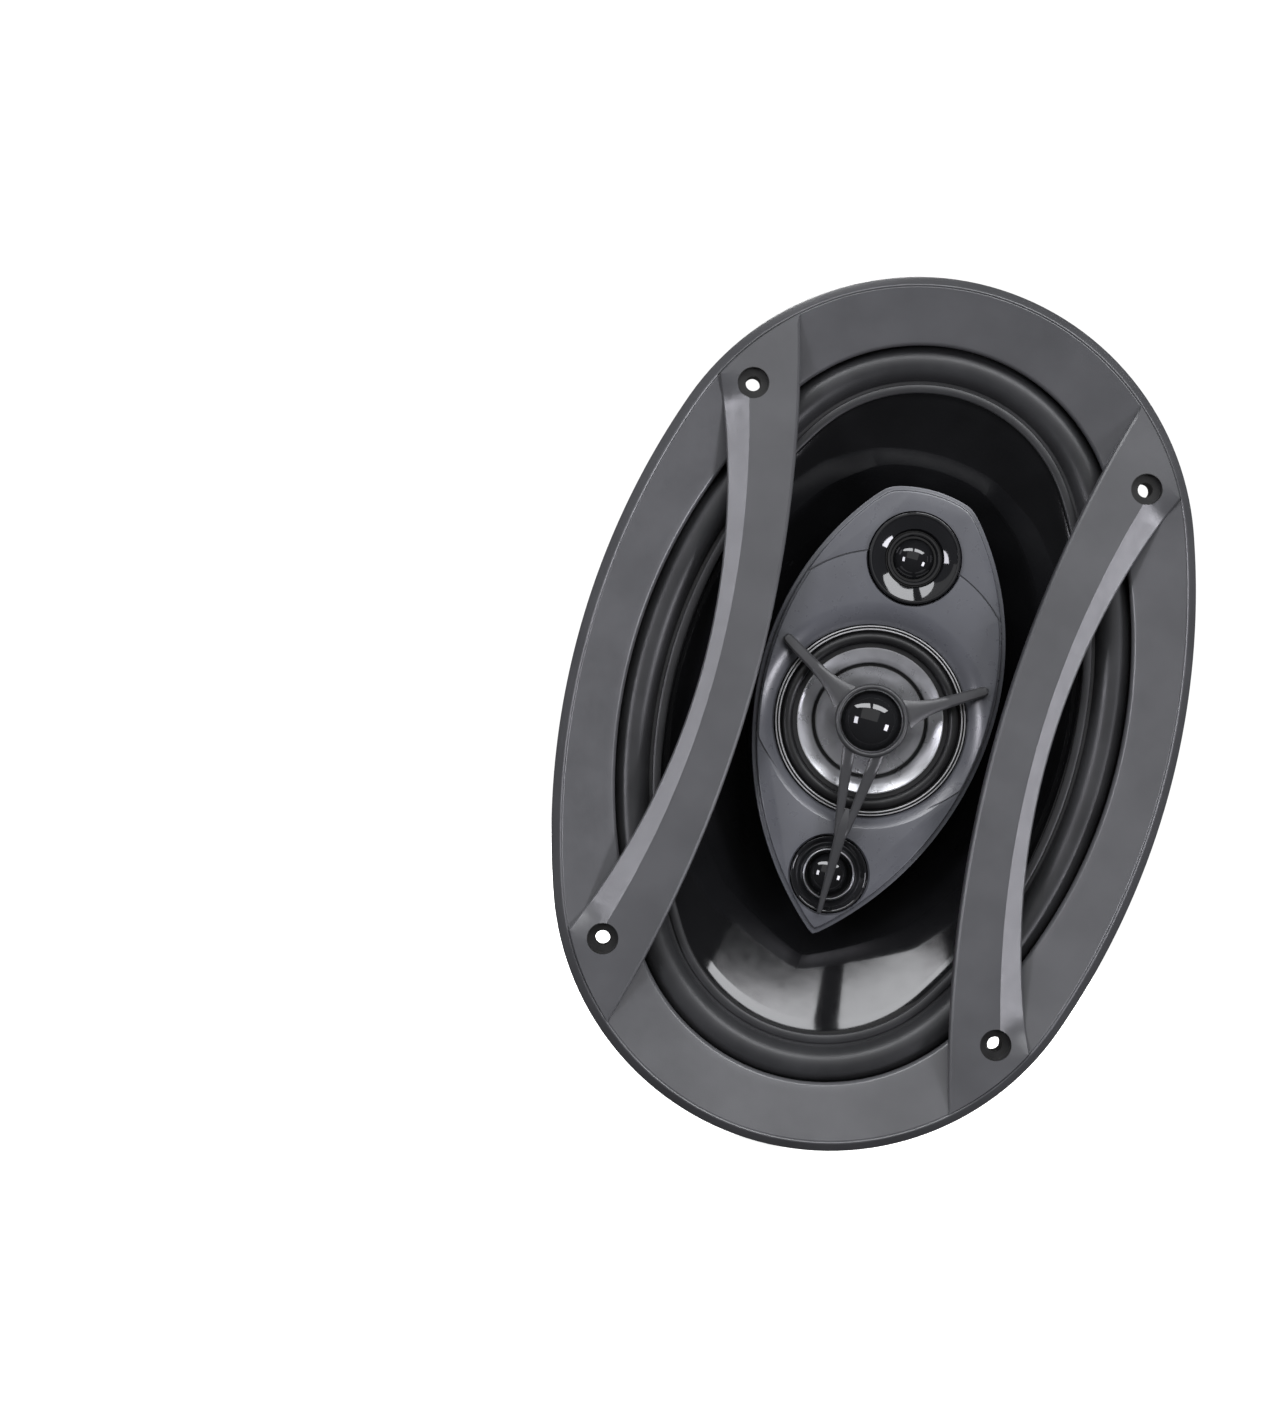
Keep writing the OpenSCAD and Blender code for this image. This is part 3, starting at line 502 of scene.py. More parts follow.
def rubber(name, value, rough=0.55, grain=0.03, tint=0.03):
    look = Look(name, rough, ior=1.45)
    look.tones(look.noise(55, 5), grey(value * 0.82, tint), grey(value * 1.15, tint))
    look.rough(look.noise(350, 4), rough - 0.08, rough + 0.07)
    look.relief(look.noise(1900, 3), 0.5, grain)
    return look.mat


def metal(name, value, rough=0.28, y=0.0, turned=900, tint=0.02):
    """Plated metal with fine turned lines."""
    look = Look(name, rough, metal=1.0)
    look.tones(look.noise(70, 5), grey(value * 0.85, tint), grey(value, tint))
    look.rough(look.noise(500, 4), rough - 0.07, rough + 0.08)
    look.relief(look.rings(y, turned), 0.2, 0.01)
    look.relief(look.noise(900, 3), 0.2, 0.01)
    return look.mat


def painted(name, value, rough=0.38):
    """Satin paint with orange peel on pressed steel."""
    look = Look(name, rough, ior=1.5)
    look.tones(look.noise(50, 5), grey(value * 0.85, 0.02), grey(value * 1.2, 0.02))
    look.rough(look.noise(240, 4), rough - 0.07, rough + 0.08)
    look.relief(look.noise(700, 2), 0.35, 0.03)
    return look.mat


def cloth(name, dark, light):
    """Resin-stiffened weave."""
    look = Look(name, 0.75)
    look.tones(look.noise(90, 4), dark, light)
    for direction in ("X", "Z"):
        wave = look.add("ShaderNodeTexWave", wave_type="BANDS", bands_direction=direction, Scale=420)
        look.link(look.place, wave.inputs["Vector"])
        look.relief(wave.outputs["Fac"], 0.6, 0.08)
    return look.mat


def copper(name, dark, light, pitch=900):
    """Enamelled wire wound turn by turn."""
    look = Look(name, 0.3, metal=0.9)
    look.tones(look.noise(120, 3), dark, light)
    look.relief(look.rings(0, pitch, "BANDS"), 0.8, 0.12)
    return look.mat


def ferrite(name):
    look = Look(name, 0.62, ior=1.7)
    look.tones(look.noise(260, 6), grey(0.028), grey(0.06))
    look.relief(look.noise(900, 5), 0.7, 0.06)
    return look.mat


def gloss_with_painted_highlights(name, y, dark, light, radii, half):
    """Gloss black with painted highlights: thin bright lines at the radii, in mm, about the axis at the
    height y, for light caught on edges.
    """
    look = Look(name, 0.2, ior=1.5)
    look.tones(look.lines(y, radii, half), grey(dark), grey(light), 0.3, 0.7)
    look.rough(look.noise(300, 4), 0.14, 0.26)
    look.relief(look.noise(120, 2), 0.12, 0.03)
    return look.mat


def film(name, dark, light, y, groove_shade_r, groove_shade_half):
    """Metallised film with a mottled tone and roughness, and painted shade: a dark ring at a radius, along
    the cone's groove.
    """
    look = Look(name, 0.28, metal=0.72)
    look.tones(look.noise(110, 5), dark, light)
    # painted shade: a thin dark ring darkens the groove
    look.paint_shade(look.lines(y, (groove_shade_r,), groove_shade_half), grey(0.03))
    look.rough(look.noise(220, 3), 0.25, 0.31)
    return look.mat


MID_Y = -2.0                                    # height of the midrange axis
TOP_Y, LOW_Y = 45.5, -47.0                      # heights of the top and the low tweeter's axes
HOLE = (57.0, 80.58)                            # screw hole, mirrored to four
SCREW_R, HEAD_R = 2.1, 4.3                      # radii of the screw hole and of its head recess
# the trim ring's screw recesses get painted shade from HOLE
TRIM = moulded("trim_grain", grey(0.075, 0.03), grey(0.09, 0.03), 0.32, 0.02, 1.6, HOLE)
POD = moulded("pod_grain", grey(0.085, 0.07), grey(0.1, 0.07), 0.29, 0.02, 1.6)
POD_BLACK = moulded("pod_black_grain", grey(0.018), grey(0.026), 0.5, 0.03)
GUARD = moulded("guard_grain", grey(0.036, 0.03), grey(0.046, 0.03), 0.36, 0.016, 1.55)
SURROUND = rubber("surround_rubber_skin", 0.03, 0.38, 0.02)
GASKET = rubber("gasket_foam_skin", 0.03, 0.8, 0.08)
BOOT = rubber("boot_rubber_skin", 0.03, 0.52, 0.04)
MID_ROLL = rubber("mid_rubber_skin", 0.007, 0.42, 0.01)
CONE = glossy("cone_gloss", 0.007, 0.07, 1.5)
HORN = glossy("horn_gloss_black", 0.012, 0.05, 1.5)
DOME = glossy("dome_gloss_black", 0.01, 0.04, 1.55)
# painted highlights: thin bright rings at 25.9 and 26.8 mm stand in for light caught on the bezel's edges
BEZEL = gloss_with_painted_highlights("bezel_painted_highlights", MID_Y, 0.012, 0.36, (25.9, 26.8), 0.22)
STEEL = painted("basket_paint", 0.05)
MID_STEEL = painted("mid_basket_paint", 0.02, 0.4)
ZINC = metal("zinc_plate", 0.62, 0.32)
RIVET = metal("rivet_steel_plain", 0.6, 0.3)
SCREW = metal("screw_black_oxide", 0.13, 0.36)
TINNED = metal("tinned_brass_tab", 0.66, 0.25, turned=300)
CHROME = metal("plated_ring", 0.3, 0.34, y=LOW_Y, turned=300)
# 15.9 and 0.65 place the ring of painted shade along the midrange cone's groove
SILVER = film("silver_film", grey(0.5, 0.02), grey(0.66, 0.02), MID_Y, 15.9, 0.65)
SPIDER = cloth("spider_weave", (0.42, 0.28, 0.11), (0.6, 0.42, 0.19))
FORMER = glossy("former_film_amber", 0.3, 0.3)
COPPER = copper("copper_turns", (0.5, 0.2, 0.07), (0.72, 0.34, 0.14))
BRAID = copper("tinsel_braid", (0.5, 0.34, 0.14), (0.72, 0.55, 0.28), 1600)
FERRITE = ferrite("ferrite_sintered")
BOARD = moulded("fibre_board_dark", grey(0.02), grey(0.04), 0.7, 0.06)
SLEEVE = glossy("capacitor_shrink_sleeve", 0.03, 0.2)
PVC = rubber("lead_sleeve", 0.015, 0.45, 0.01)

# ------------------------------------------------------------------ driving sizes

MOUTH = Oval(70, 105.5, 55.1)                   # opening of the trim ring
RING = Oval(reach("trim_ring", "x", 1), reach("trim_ring", "y", 1), 78.03)
HOLE_LEAN = radians(27.9)
STEEL_T = 1.2
SHELF_Z, SHELF_R = -41.0, 44.0
CUP_R = 38.0
FLOOR_Z = SHELF_Z - 11
ROLL_D, ROLL_R, ROLL_T = -4.6, 5.0, 0.7         # surround's half roll
LIP_D = -9.8
LAND_Z = 1.25
NECK_R, NECK_Z = 16.3, -38.0
FACE_Z, SHIELD_Z = 3.5, 4.3                     # pod face and midrange shield
PAIR = (1, -1)


def at_corners(x, y):
    return [(sx * x, sy * y) for sx in PAIR for sy in PAIR]


# ------------------------------------------------------------------ trim ring

RING_H = 13.0
RIM = 3.3                                       # width of the bead round the ring


def face_z(x, y):
    """Height of the dished face of the ring."""
    return RING_H - 4.5 * (RING.inside(x, y) - 3) / 16


class Between:
    """The line at the share t between two ovals, along each ray from the centre."""

    def __init__(self, a, b, t):
        self.a, self.b, self.t = a, b, t

    def at(self, turn):
        (x0, y0), (x1, y1) = self.a.at(turn), self.b.at(turn)
        return lerp(x0, x1, self.t), lerp(y0, y1, self.t)


def ring_profile():
    """Closed profile of the ring's band, as (oval, height) pairs."""
    outer, inner = RING.grow(-RIM), MOUTH.grow(1.0)
    line = [(RING.grow(-0.4), 0.3), (RING.grow(-0.1), 0.45), (RING, 0.8), (RING, 5), (RING, 8.6)]
    for out_d, z in ((0.04, 9.1), (0.14, 9.5), (0.3, 9.85), (1.2, 11.15), (2.1, 12.45), (2.3, 12.7),
                     (2.5, 12.85),
                     (2.7, 12.9), (2.9, 12.8), (3.0, 12.6), (3.1, 12.5)):
        line.append((RING.grow(-out_d), z))
    for k in range(9):
        t = k / 8
        line.append((Between(outer, inner, t), lambda x, y, t=t: face_z(x, y) - 0.35 * (1 - t)))
    for k in range(1, 9):
        a = pi / 2 * k / 8
        line.append((MOUTH.grow(1 - sin(a)), lambda x, y, drop=1 - cos(a): face_z(x, y) - drop))
    for d, drop in ((0, 2.2), (0.1, 2.45), (0.4, 2.6)):
        line.append((MOUTH.grow(d), lambda x, y, drop=drop: face_z(x, y) - drop))
    for t in (0.7, 0.4, 0.1):
        line.append((Between(RING.grow(-3.4), MOUTH.grow(1.4), t), lambda x, y: face_z(x, y) - 2.6))
    line += [(RING.grow(-2.7), 9.6), (RING.grow(-2.3), 8.8), (RING.grow(-2.2), 5), (RING.grow(-2.2), 0.6),
             (RING.grow(-1.9), 0.3)]
    return line


GAP, BAR_W, BAR_H = 34.5, 15.5, 16.0            # bar: inner edge, width and height at mid height
BAR_IN, BAR_OUT = 13.4, 9.8                     # how far its edges lie in and out from the screw hole
BAR_LOW = 10.0                                  # height of its underside
CROWN_R = 1769.0                                # radius of its crown along its length
CREASE_X, CREASE_OUT = 46.0, 12.4               # its crease at mid height, and its run out to the hole


def arc_x(start, end, y):
    """x of the arc that passes start at mid height and end at the screw hole's height."""
    sag = end - start
    r = (HOLE[1] ** 2 + sag * sag) / (2 * sag)
    return start + r - sqrt(r * r - y * y)


def bar_left(y):
    return arc_x(GAP, HOLE[0] - BAR_IN, y)


def bar_right(y):
    return arc_x(GAP + BAR_W, HOLE[0] + BAR_OUT, y)


def bar_crown(y):
    return BAR_H - y * y / (2 * CROWN_R)


def bar_crease(y):
    """x of the crease between the bar's face and its outer facet."""
    return CREASE_X + CREASE_OUT * (y / HOLE[1]) ** 2


def bar_mesh(side):
    """One bar, as a grid of cross-sections from its upper tip to its lower tip."""
    rim = RING.grow(-3.0)
    tip = next(y for y in [115 - 0.05 * i for i in range(600)] if rim.edge_x(y) > bar_left(y))
    corner = next(y for y in [tip - 0.05 * i for i in range(900)] if rim.edge_x(y) > bar_right(y))
    partner = corner + 5
    stations = []
    ends, middle = 12, 64
    for k in range(ends):
        t = k / ends
        stations.append((lerp(tip, partner, t), lerp(tip, corner, t), False))
    for k in range(middle + 1):
        t = 2 * k / middle - 1
        stations.append((-partner * t, -corner * t, True))
    stations += [(-a, -b, False) for a, b, _ in stations[ends - 1::-1]]
    verts, width = [], None
    for left_y, right_y, inner in stations:
        left = Vector((bar_left(left_y), left_y))
        right = Vector((bar_right(right_y) if inner else rim.edge_x(right_y), right_y))
        across = max((right - left).length, 0.05)

        def place(s, height):
            p = left + (right - left) * (s / across)
            return (p.x, p.y, height)

        ramp = smoothstep((corner - abs(right_y) + 1) / 9) if inner else 0
        fall = (1.55 + 1.5 * (right_y / corner) ** 2) * ramp
        crease = across * 0.55
        if inner:
            for _ in range(12):
                p = left + (right - left) * (crease / across)
                crease = min(max(crease + (bar_crease(p.y) - p.x), 0.3 * across), 0.94 * across)
        edge = min(0.9, 0.2 * across)
        row = []
        for s, drop in ((0, 0.9), (edge * 0.35, 0.35), (edge, 0.0)):
            row.append(place(s, bar_crown(left.y) - drop))
        for k in range(1, 6):
            s = lerp(edge, crease, k / 5)
            p = left + (right - left) * (s / across)
            row.append(place(s, bar_crown(p.y)))
        for k in range(1, 5):
            s = lerp(crease, across - edge * 0.4, k / 4)
            p = left + (right - left) * (s / across)
            row.append(place(s, bar_crown(p.y) - fall * k / 4))
        row.append(place(across, bar_crown(right.y) - fall - 0.35))
        low = []
        for x, y, _ in row:
            depth = MOUTH.inside(x, y)
            low.append((x, y, lerp(face_z(x, y) - 1.3, BAR_LOW, smoothstep((depth + 1.2) / 1.2))))
        loop = row + low[::-1]
        width = len(loop)
        verts += [point(side * x, y, z) for x, y, z in loop]
    return mesh_object("bar", verts, quads(len(stations), width, False) + caps(len(stations), width))


def trim_ring():
    ring = oval_sweep("trim_ring_moulding", ring_profile())
    parts = [bar_mesh(side) for side in PAIR]
    for x, y in at_corners(*HOLE):
        parts.append(pin("boss", x, y, 3.1, 1.4, 3.1, 11.4, 48))
        parts.append(pin("sleeve", x, y, 2.8, 0.02, 2.8, 6, 48))
    combine(ring, parts, "UNION")
    cutters = []
    for x, y in at_corners(*HOLE):
        cutters.append(pin("hole", x, y, SCREW_R, -2, SCREW_R, 30, 48))
        recess = [(0, 10.5), (HEAD_R, 10.5), (HEAD_R, 14.3), (HEAD_R + 0.4, 14.7), (HEAD_R + 0.4, 30),
                  (0, 30)]
        cutters.append(shifted(lathe("recess", recess, 0, 64), x, y))
    combine(ring, cutters, "DIFFERENCE")
    finish_piece(ring, "trim", TRIM, ["trim_ring"], sharp=13)


# ------------------------------------------------------------------ basket, gasket, surround and cone

def slot_cutter(x, y):
    lean = HOLE_LEAN if x * y > 0 else -HOLE_LEAN
    r, half = 3, 1.5
    outline = [(half + r * cos(a), r * sin(a)) for a in [pi * (i / 16 - 0.5) for i in range(17)]]
    outline += [(-u, -v) for u, v in outline]
    turned = [(x + u * cos(lean) - v * sin(lean), y + u * sin(lean) + v * cos(lean))
              for u, v in outline]
    return plate("slot", turned, -2, 4)


def basket():
    top, bottom = MOUTH.grow(0.8), Oval(SHELF_R, SHELF_R, SHELF_R)
    top_z = STEEL_T - 1.2
    window_top, window_low = -5.6, -36.4
    wall_top, wall_low = -2.0, -39.2

    def funnel(turn, z):
        """Point on the inner face of the funnel."""
        t = (STEEL_T - z) / (STEEL_T - SHELF_Z)
        r = top.towards(bottom, t).radius(turn)
        share = min(max((z - window_low) / (window_top - window_low), 0), 1)
        spoke = round(turn / (TAU / 6)) * TAU / 6
        aside = r * sin(turn - spoke)
        r += 1.8 * exp(-(aside / 2.6) ** 2) * sin(pi * share) ** 0.5 if 0 < share < 1 else 0
        return around(turn, r, z)

    verts, faces = [], []

    def add_rings(rings):
        start = len(verts)
        for ring in rings:
            verts.extend(ring)
        faces.extend(tuple(start + i for i in f) for f in quads(len(rings), STATIONS, False))

    outline = hull_of([MOUTH.grow(8.3).at(a) for a in turns(360)]
                      + [p for x, y in at_corners(*HOLE) for p in circle_points(x, y, 8.1)])
    edge = [polar(outline, a) for a in turns(STATIONS)]

    def flange(share, z):
        """Ring on the flange, from its edge at share 0 to the opening at share 1."""
        ring = []
        for (x, y), a in zip(edge, turns(STATIONS)):
            u, v = top.at(a)
            ring.append(point(lerp(x, u, share), lerp(y, v, share), z))
        return ring

    rings = [flange(0.0, STEEL_T), flange(0.06, STEEL_T), flange(0.1, STEEL_T + 0.3),
             flange(0.16, STEEL_T + 0.3),
             flange(0.2, STEEL_T), flange(0.55, STEEL_T), flange(0.93, STEEL_T),
             flange(0.985, STEEL_T - 0.15)]
    rings += [[funnel(a, z) for a in turns(STATIONS)] for z in (STEEL_T - 0.5, top_z, wall_top)]
    add_rings(rings)
    add_rings([[funnel(a, z) for a in turns(STATIONS)] for z in (wall_low, -40.4)]
              + [[around(a, r, z) for a in turns(STATIONS)]
                 for r, z in ((44.0, SHELF_Z), (43, SHELF_Z), (39, SHELF_Z), (CUP_R + 0.2, SHELF_Z - 0.25),
                              (CUP_R, SHELF_Z - 1), (CUP_R, FLOOR_Z + 1), (CUP_R - 0.3, FLOOR_Z + 0.3),
                              (CUP_R - 1, FLOOR_Z), (28, FLOOR_Z), (19.2, FLOOR_Z))])
    across, along, layers = STATIONS // 6, 14, 7
    for sector in range(6):
        start = TAU / 6 * sector
        square = [(i / across, 0.0) for i in range(across)] + [(1.0, j / along) for j in range(along)]
        square += [(1 - i / across, 1.0) for i in range(across)] + [(0.0,
                                                                     1 - j / along) for j in range(along)]
        base = len(verts)
        for layer in range(layers + 1):
            for u, v in square:
                p, q = 2 * u - 1, 2 * v - 1
                reach_in = (abs(p) ** 7 + abs(q) ** 7) ** (1 / 7)
                wu, wv = (p / reach_in + 1) / 2, (q / reach_in + 1) / 2
                z = lerp(window_top, window_low, wv)
                r = top.towards(bottom, (STEEL_T - z) / (STEEL_T - SHELF_Z)).radius(start + TAU / 6 * wu)
                half = asin(6 / r)
                inner = (start + lerp(half, TAU / 6 - half, wu), z)
                outer = (start + TAU / 6 * u, lerp(wall_top, wall_low, v))
                t = layer / layers
                verts.append(funnel(lerp(outer[0], inner[0], t), lerp(outer[1], inner[1], t)))
        faces.extend(tuple(base + i for i in f) for f in quads(layers + 1, len(square), False))
    obj = mesh_object("basket_pressing", verts, faces)
    thick = obj.modifiers.new("steel", "SOLIDIFY")
    thick.thickness = STEEL_T * MM
    thick.offset = -1.0 if sheet_faces_front(obj) else 1.0
    thick.use_even_offset = False
    bake(obj)
    combine(obj, [slot_cutter(x, y) for x, y in at_corners(*HOLE)], "DIFFERENCE")
    board_top = reach("terminal_board", "y", 1)
    tab = plate("tab", [(-11, board_top - 10), (11, board_top - 10), (11, board_top + 6),
                        (-11, board_top + 6)],
                SHELF_Z - STEEL_T, SHELF_Z - 0.02)
    soften(tab, 0.3)
    combine(obj, [tab], "UNION")
    soften(obj, 0.3, 2, 50)
    finish_piece(obj, "chassis", STEEL, ["basket"], sharp=40)


def sheet_faces_front(obj):
    """Whether the flange's normals point forward."""
    front = [p.normal.y for p in obj.data.polygons if abs(p.normal.y) > 0.99 and abs(p.center.y) < 0.002]
    return sum(front) < 0


def gasket():
    low, high = LAND_Z + ROLL_T, reach("gasket", "z", 1)
    inner, outer = 0.4, 6.0
    line = rounded([(outer, low, 0.3), (outer, high, 0.7), (inner, high, 0.7), (inner, low, 0.3)])
    obj = oval_sweep("gasket_ring", [(MOUTH.grow(d), z) for d, z in line])
    finish_piece(obj, "chassis", GASKET, ["gasket"])


def surround():
    inner_land, outer_land = LIP_D - 3.2, 5.8
    top = LAND_Z + ROLL_T
    rise = asin(ROLL_T / ROLL_R)
    line = [(inner_land, LAND_Z), (inner_land, top + 0.25), (inner_land + 0.25, top + 0.5),
            (inner_land + 2.2, top + 0.55), (inner_land + 2.5, top + 0.3), (inner_land + 2.55, top),
            (ROLL_D - ROLL_R - 0.1, top)]
    for k in range(1, 24):
        a = pi - rise - (pi - 2 * rise) * k / 24
        line.append((ROLL_D + ROLL_R * cos(a), LAND_Z + ROLL_R * sin(a)))
    line += [(ROLL_D + ROLL_R - 0.02, top + 0.2), (ROLL_D + ROLL_R + 0.3, top), (outer_land, top),
             (outer_land, LAND_Z)]
    thin = ROLL_R - ROLL_T
    for k in range(17):
        a = pi * k / 16
        line.append((ROLL_D + thin * cos(a), LAND_Z + thin * sin(a)))
    obj = oval_sweep("surround_roll", [(MOUTH.grow(d), z) for d, z in line])
    finish_piece(obj, None, SURROUND, ["surround"], sharp=50)
    flex(obj,
         lambda x, y: smoothstep((MOUTH.inside(x, y) - 0.2) / (-LIP_D - 0.6)))


class Ellipse:
    def __init__(self, a, b):
        self.a, self.b = a, b

    def at(self, turn):
        c, s = cos(turn), sin(turn)
        r = self.a * self.b / hypot(self.b * c, self.a * s)
        return r * c, r * s


def cone():
    mouth, neck = MOUTH.grow(LIP_D - 3.5), Ellipse(NECK_R, NECK_R)
    back_mouth, back_neck = MOUTH.grow(LIP_D - 2.6), Ellipse(NECK_R + 0.8, NECK_R + 0.8)
    lip = MOUTH.grow(LIP_D)
    line = [(lip, 0.45), (lip, 1.05), (MOUTH.grow(LIP_D - 0.15), 1.2), (Between(lip, mouth, 0.5), 1.2),
            (Between(lip, mouth, 0.93), 1.2)]
    steps = 22
    for k in range(steps + 1):
        t = k / steps
        line.append((Between(mouth, neck, 0.004 + 0.996 * t), lerp(STEEL_T - 0.12, NECK_Z, t)))
    for k in range(steps + 1):
        t = 1 - k / steps
        line.append((Between(back_mouth, back_neck, t), lerp(0.4, NECK_Z, t)))
    obj = oval_sweep("cone_diaphragm", line)
    finish_piece(obj, "woofer_cone", CONE, ["cone"], sharp=32)


def spider():
    inner, outer = reach("coil_former", "x", 1) + 0.15, SHELF_R - 0.4
    low = SHELF_Z + 1.1
    n = 90
    top = [(lerp(inner, outer, i / n), low + 0.5 + sin(TAU * 5 * i / n)) for i in range(n + 1)]
    under = [(r, z - 0.5) for r, z in reversed(top)]
    obj = lathe("spider_disc", top + under)
    finish_piece(obj, None, SPIDER, ["spider"], sharp=60)
    flex(obj, lambda x, y: 1 - smoothstep((hypot(x,
                                                                     y) - inner - 0.8) / (outer - inner - 2)))


def tinsel_leads():
    board_top = reach("terminal_board", "y", 1)
    tab_z = reach("terminal_positive", "z", 1)
    r = 0.45
    y0 = board_top - 12.5
    cone_y = -54.0
    back = NECK_Z + (-cone_y - NECK_R) * (STEEL_T + 38) / (88.5 - NECK_R) - 1.8
    for side, word in ((1, "right"), (-1, "left")):
        path = curve_through([(side * 8, y0, tab_z + 0.1 + r), (side * 8, y0 - 1, tab_z + 3.5),
                              (side * 8, y0 - 1.3, tab_z + 8), (side * 8, y0 + 1, tab_z + 13),
                              (side * 8, cone_y, back - 0.6)], 10)
        obj = tube(f"tinsel_lead_{word}", path, r)
        finish_piece(obj, None, BRAID, ["tinsel_leads"])
        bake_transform(obj)


# ------------------------------------------------------------------ motor and boot

def motor():
    rear = reach("back_plate", "z", 0)
    plate_z = reach("top_plate", "z", 1)
    magnet_top = reach("magnet", "z", 1)
    magnet_low = reach("magnet", "z", 0)
    r = reach("top_plate", "x", 1)
    top = lathe("top_plate_disc", rounded([(17.5, magnet_top, 0.3), (r, magnet_top, 0.4), (r, plate_z, 0.9),
                                           (17.5, plate_z, 0.5)]))
    finish_piece(top, "chassis", ZINC, ["top_plate"])
    ring = lathe("magnet_ring", rounded([(26.5, magnet_low, 0.6), (50, magnet_low, 1.2),
                                         (50, magnet_top, 1.2),
                                         (26.5, magnet_top, 0.6)]))
    finish_piece(ring, "chassis", FERRITE, ["magnet"])
    back = lathe("back_plate_pole", rounded([
        (5.05, rear, 0.5), (r, rear, 0.9), (r, magnet_low, 0.4), (15.45, magnet_low, 0),
                                             (15.45, plate_z, 0.5),
        (5.05, plate_z, 0.3)]))
    finish_piece(back, "chassis", ZINC, ["back_plate"])
    out_r, low, high = reach("magnet_boot", "x", 1), reach("magnet_boot", "z", 0), reach("magnet_boot", "z",
                                                                                         1)
    wall = 1.6
    line = [(0, low + 0.5, 0), (out_r - 13.8, low + 0.5, 0.3), (out_r - 13.3, low, 0.3),
            (out_r - 3.2, low, 0.8),
            (out_r, low + 3.2, 1.6)]
    z = low + 6.0
    while z < high - 4:
        line += [(out_r, z, 0.25), (out_r - 0.45, z + 0.35, 0.2), (out_r - 0.45, z + 0.95, 0.2),
                 (out_r, z + 1.3, 0.25)]
        z += 4.4
    line += [(out_r, high, 0.7), (out_r - wall, high, 0.4), (out_r - wall, low + wall, 0.6),
             (0, low + wall, 0)]
    boot = lathe("magnet_boot_shell", rounded(line, 3), n=180)
    finish_piece(boot, "chassis", BOOT, ["magnet_boot"])


def rivets():
    floor, plate_z = FLOOR_Z, reach("top_plate", "z", 1)
    reach_out = (17.5 + CUP_R) / 2 + 2
    for i in range(4):
        a = radians(45 + 90 * i)
        obj = lathe(f"basket_rivet_{i + 1}", rounded([
            (0, plate_z - 3, 0), (2, plate_z - 3, 0.2), (2, floor, 0), (3.6, floor, 0.2),
                                                      (3.6, floor + 0.55, 0.5),
            (2.2, floor + 1.1, 0.8), (0.7, floor + 1.05, 0.2), (0.5, floor + 0.6, 0.1),
                                                      (0, floor + 0.55, 0)]), 0, 40)
        shifted(obj, reach_out * cos(a), reach_out * sin(a))
        finish_piece(obj, "chassis", RIVET, ["basket_rivets"])


# ------------------------------------------------------------------ pod

POD_Y = 8.0                                     # height of the pod's widest point
POD_SCREWS = ((17, 28), (-17, 28), (11, -33), (-11, -33))


def pod_radius(turn, inset, soft=1.4):
    """Distance from the pod's widest point's centre to its outline, with softened corners."""
    c, s = cos(turn), sin(turn)
    side = 82.0 if s >= 0 else 95.0
    back = side - 34.0
    limits = []
    for sign in PAIR:
        b = sign * back * c
        limits.append(-b + sqrt(b * b - back * back + (side - inset) ** 2))
    up = 65.5 - 37 - POD_Y
    cap = up * s + sqrt((37 - inset) ** 2 - (up * c) ** 2)
    if s > 0.35:
        limits.append(cap)
    total = sum(exp(-limit / soft * 2) for limit in (v - min(limits) for v in limits))
    return min(limits) - soft / 2 * log(total) * 0.8


def pod_outline(inset, n=300):
    return [(pod_radius(a, inset) * cos(a),
             POD_Y + pod_radius(a, inset) * sin(a)) for a in turns(n)]


def pod_loft(name, layers, n=300):
    """A capped solid through (inset, z) layers of the pod's outline."""
    verts = [point(x, y, z) for inset, z in layers for x, y in pod_outline(inset, n)]
    return mesh_object(name, verts, quads(len(layers), n, False) + caps(len(layers), n))


def countersink(y, r, z_low, z_edge, r_edge, z_top, soft=0.0):
    """Cutter for a bore with a flared mouth, whose outer edge fades out over a soft width."""
    line = [(0, -30), (r, -30), (r, z_low)]
    if soft:
        for k in range(1, 11):
            t = k / 10
            line.append((r + (r_edge + soft - r) * t, z_low + (z_edge - z_low) * (1 - (1 - t) ** 1.9)))
    else:
        line.append((r_edge, z_edge))
    outer = line[-1][0]
    return lathe("bore", line + [(outer + 0.3, z_edge + 0.02), (outer + 1, z_top), (0, z_top)], y, 160)


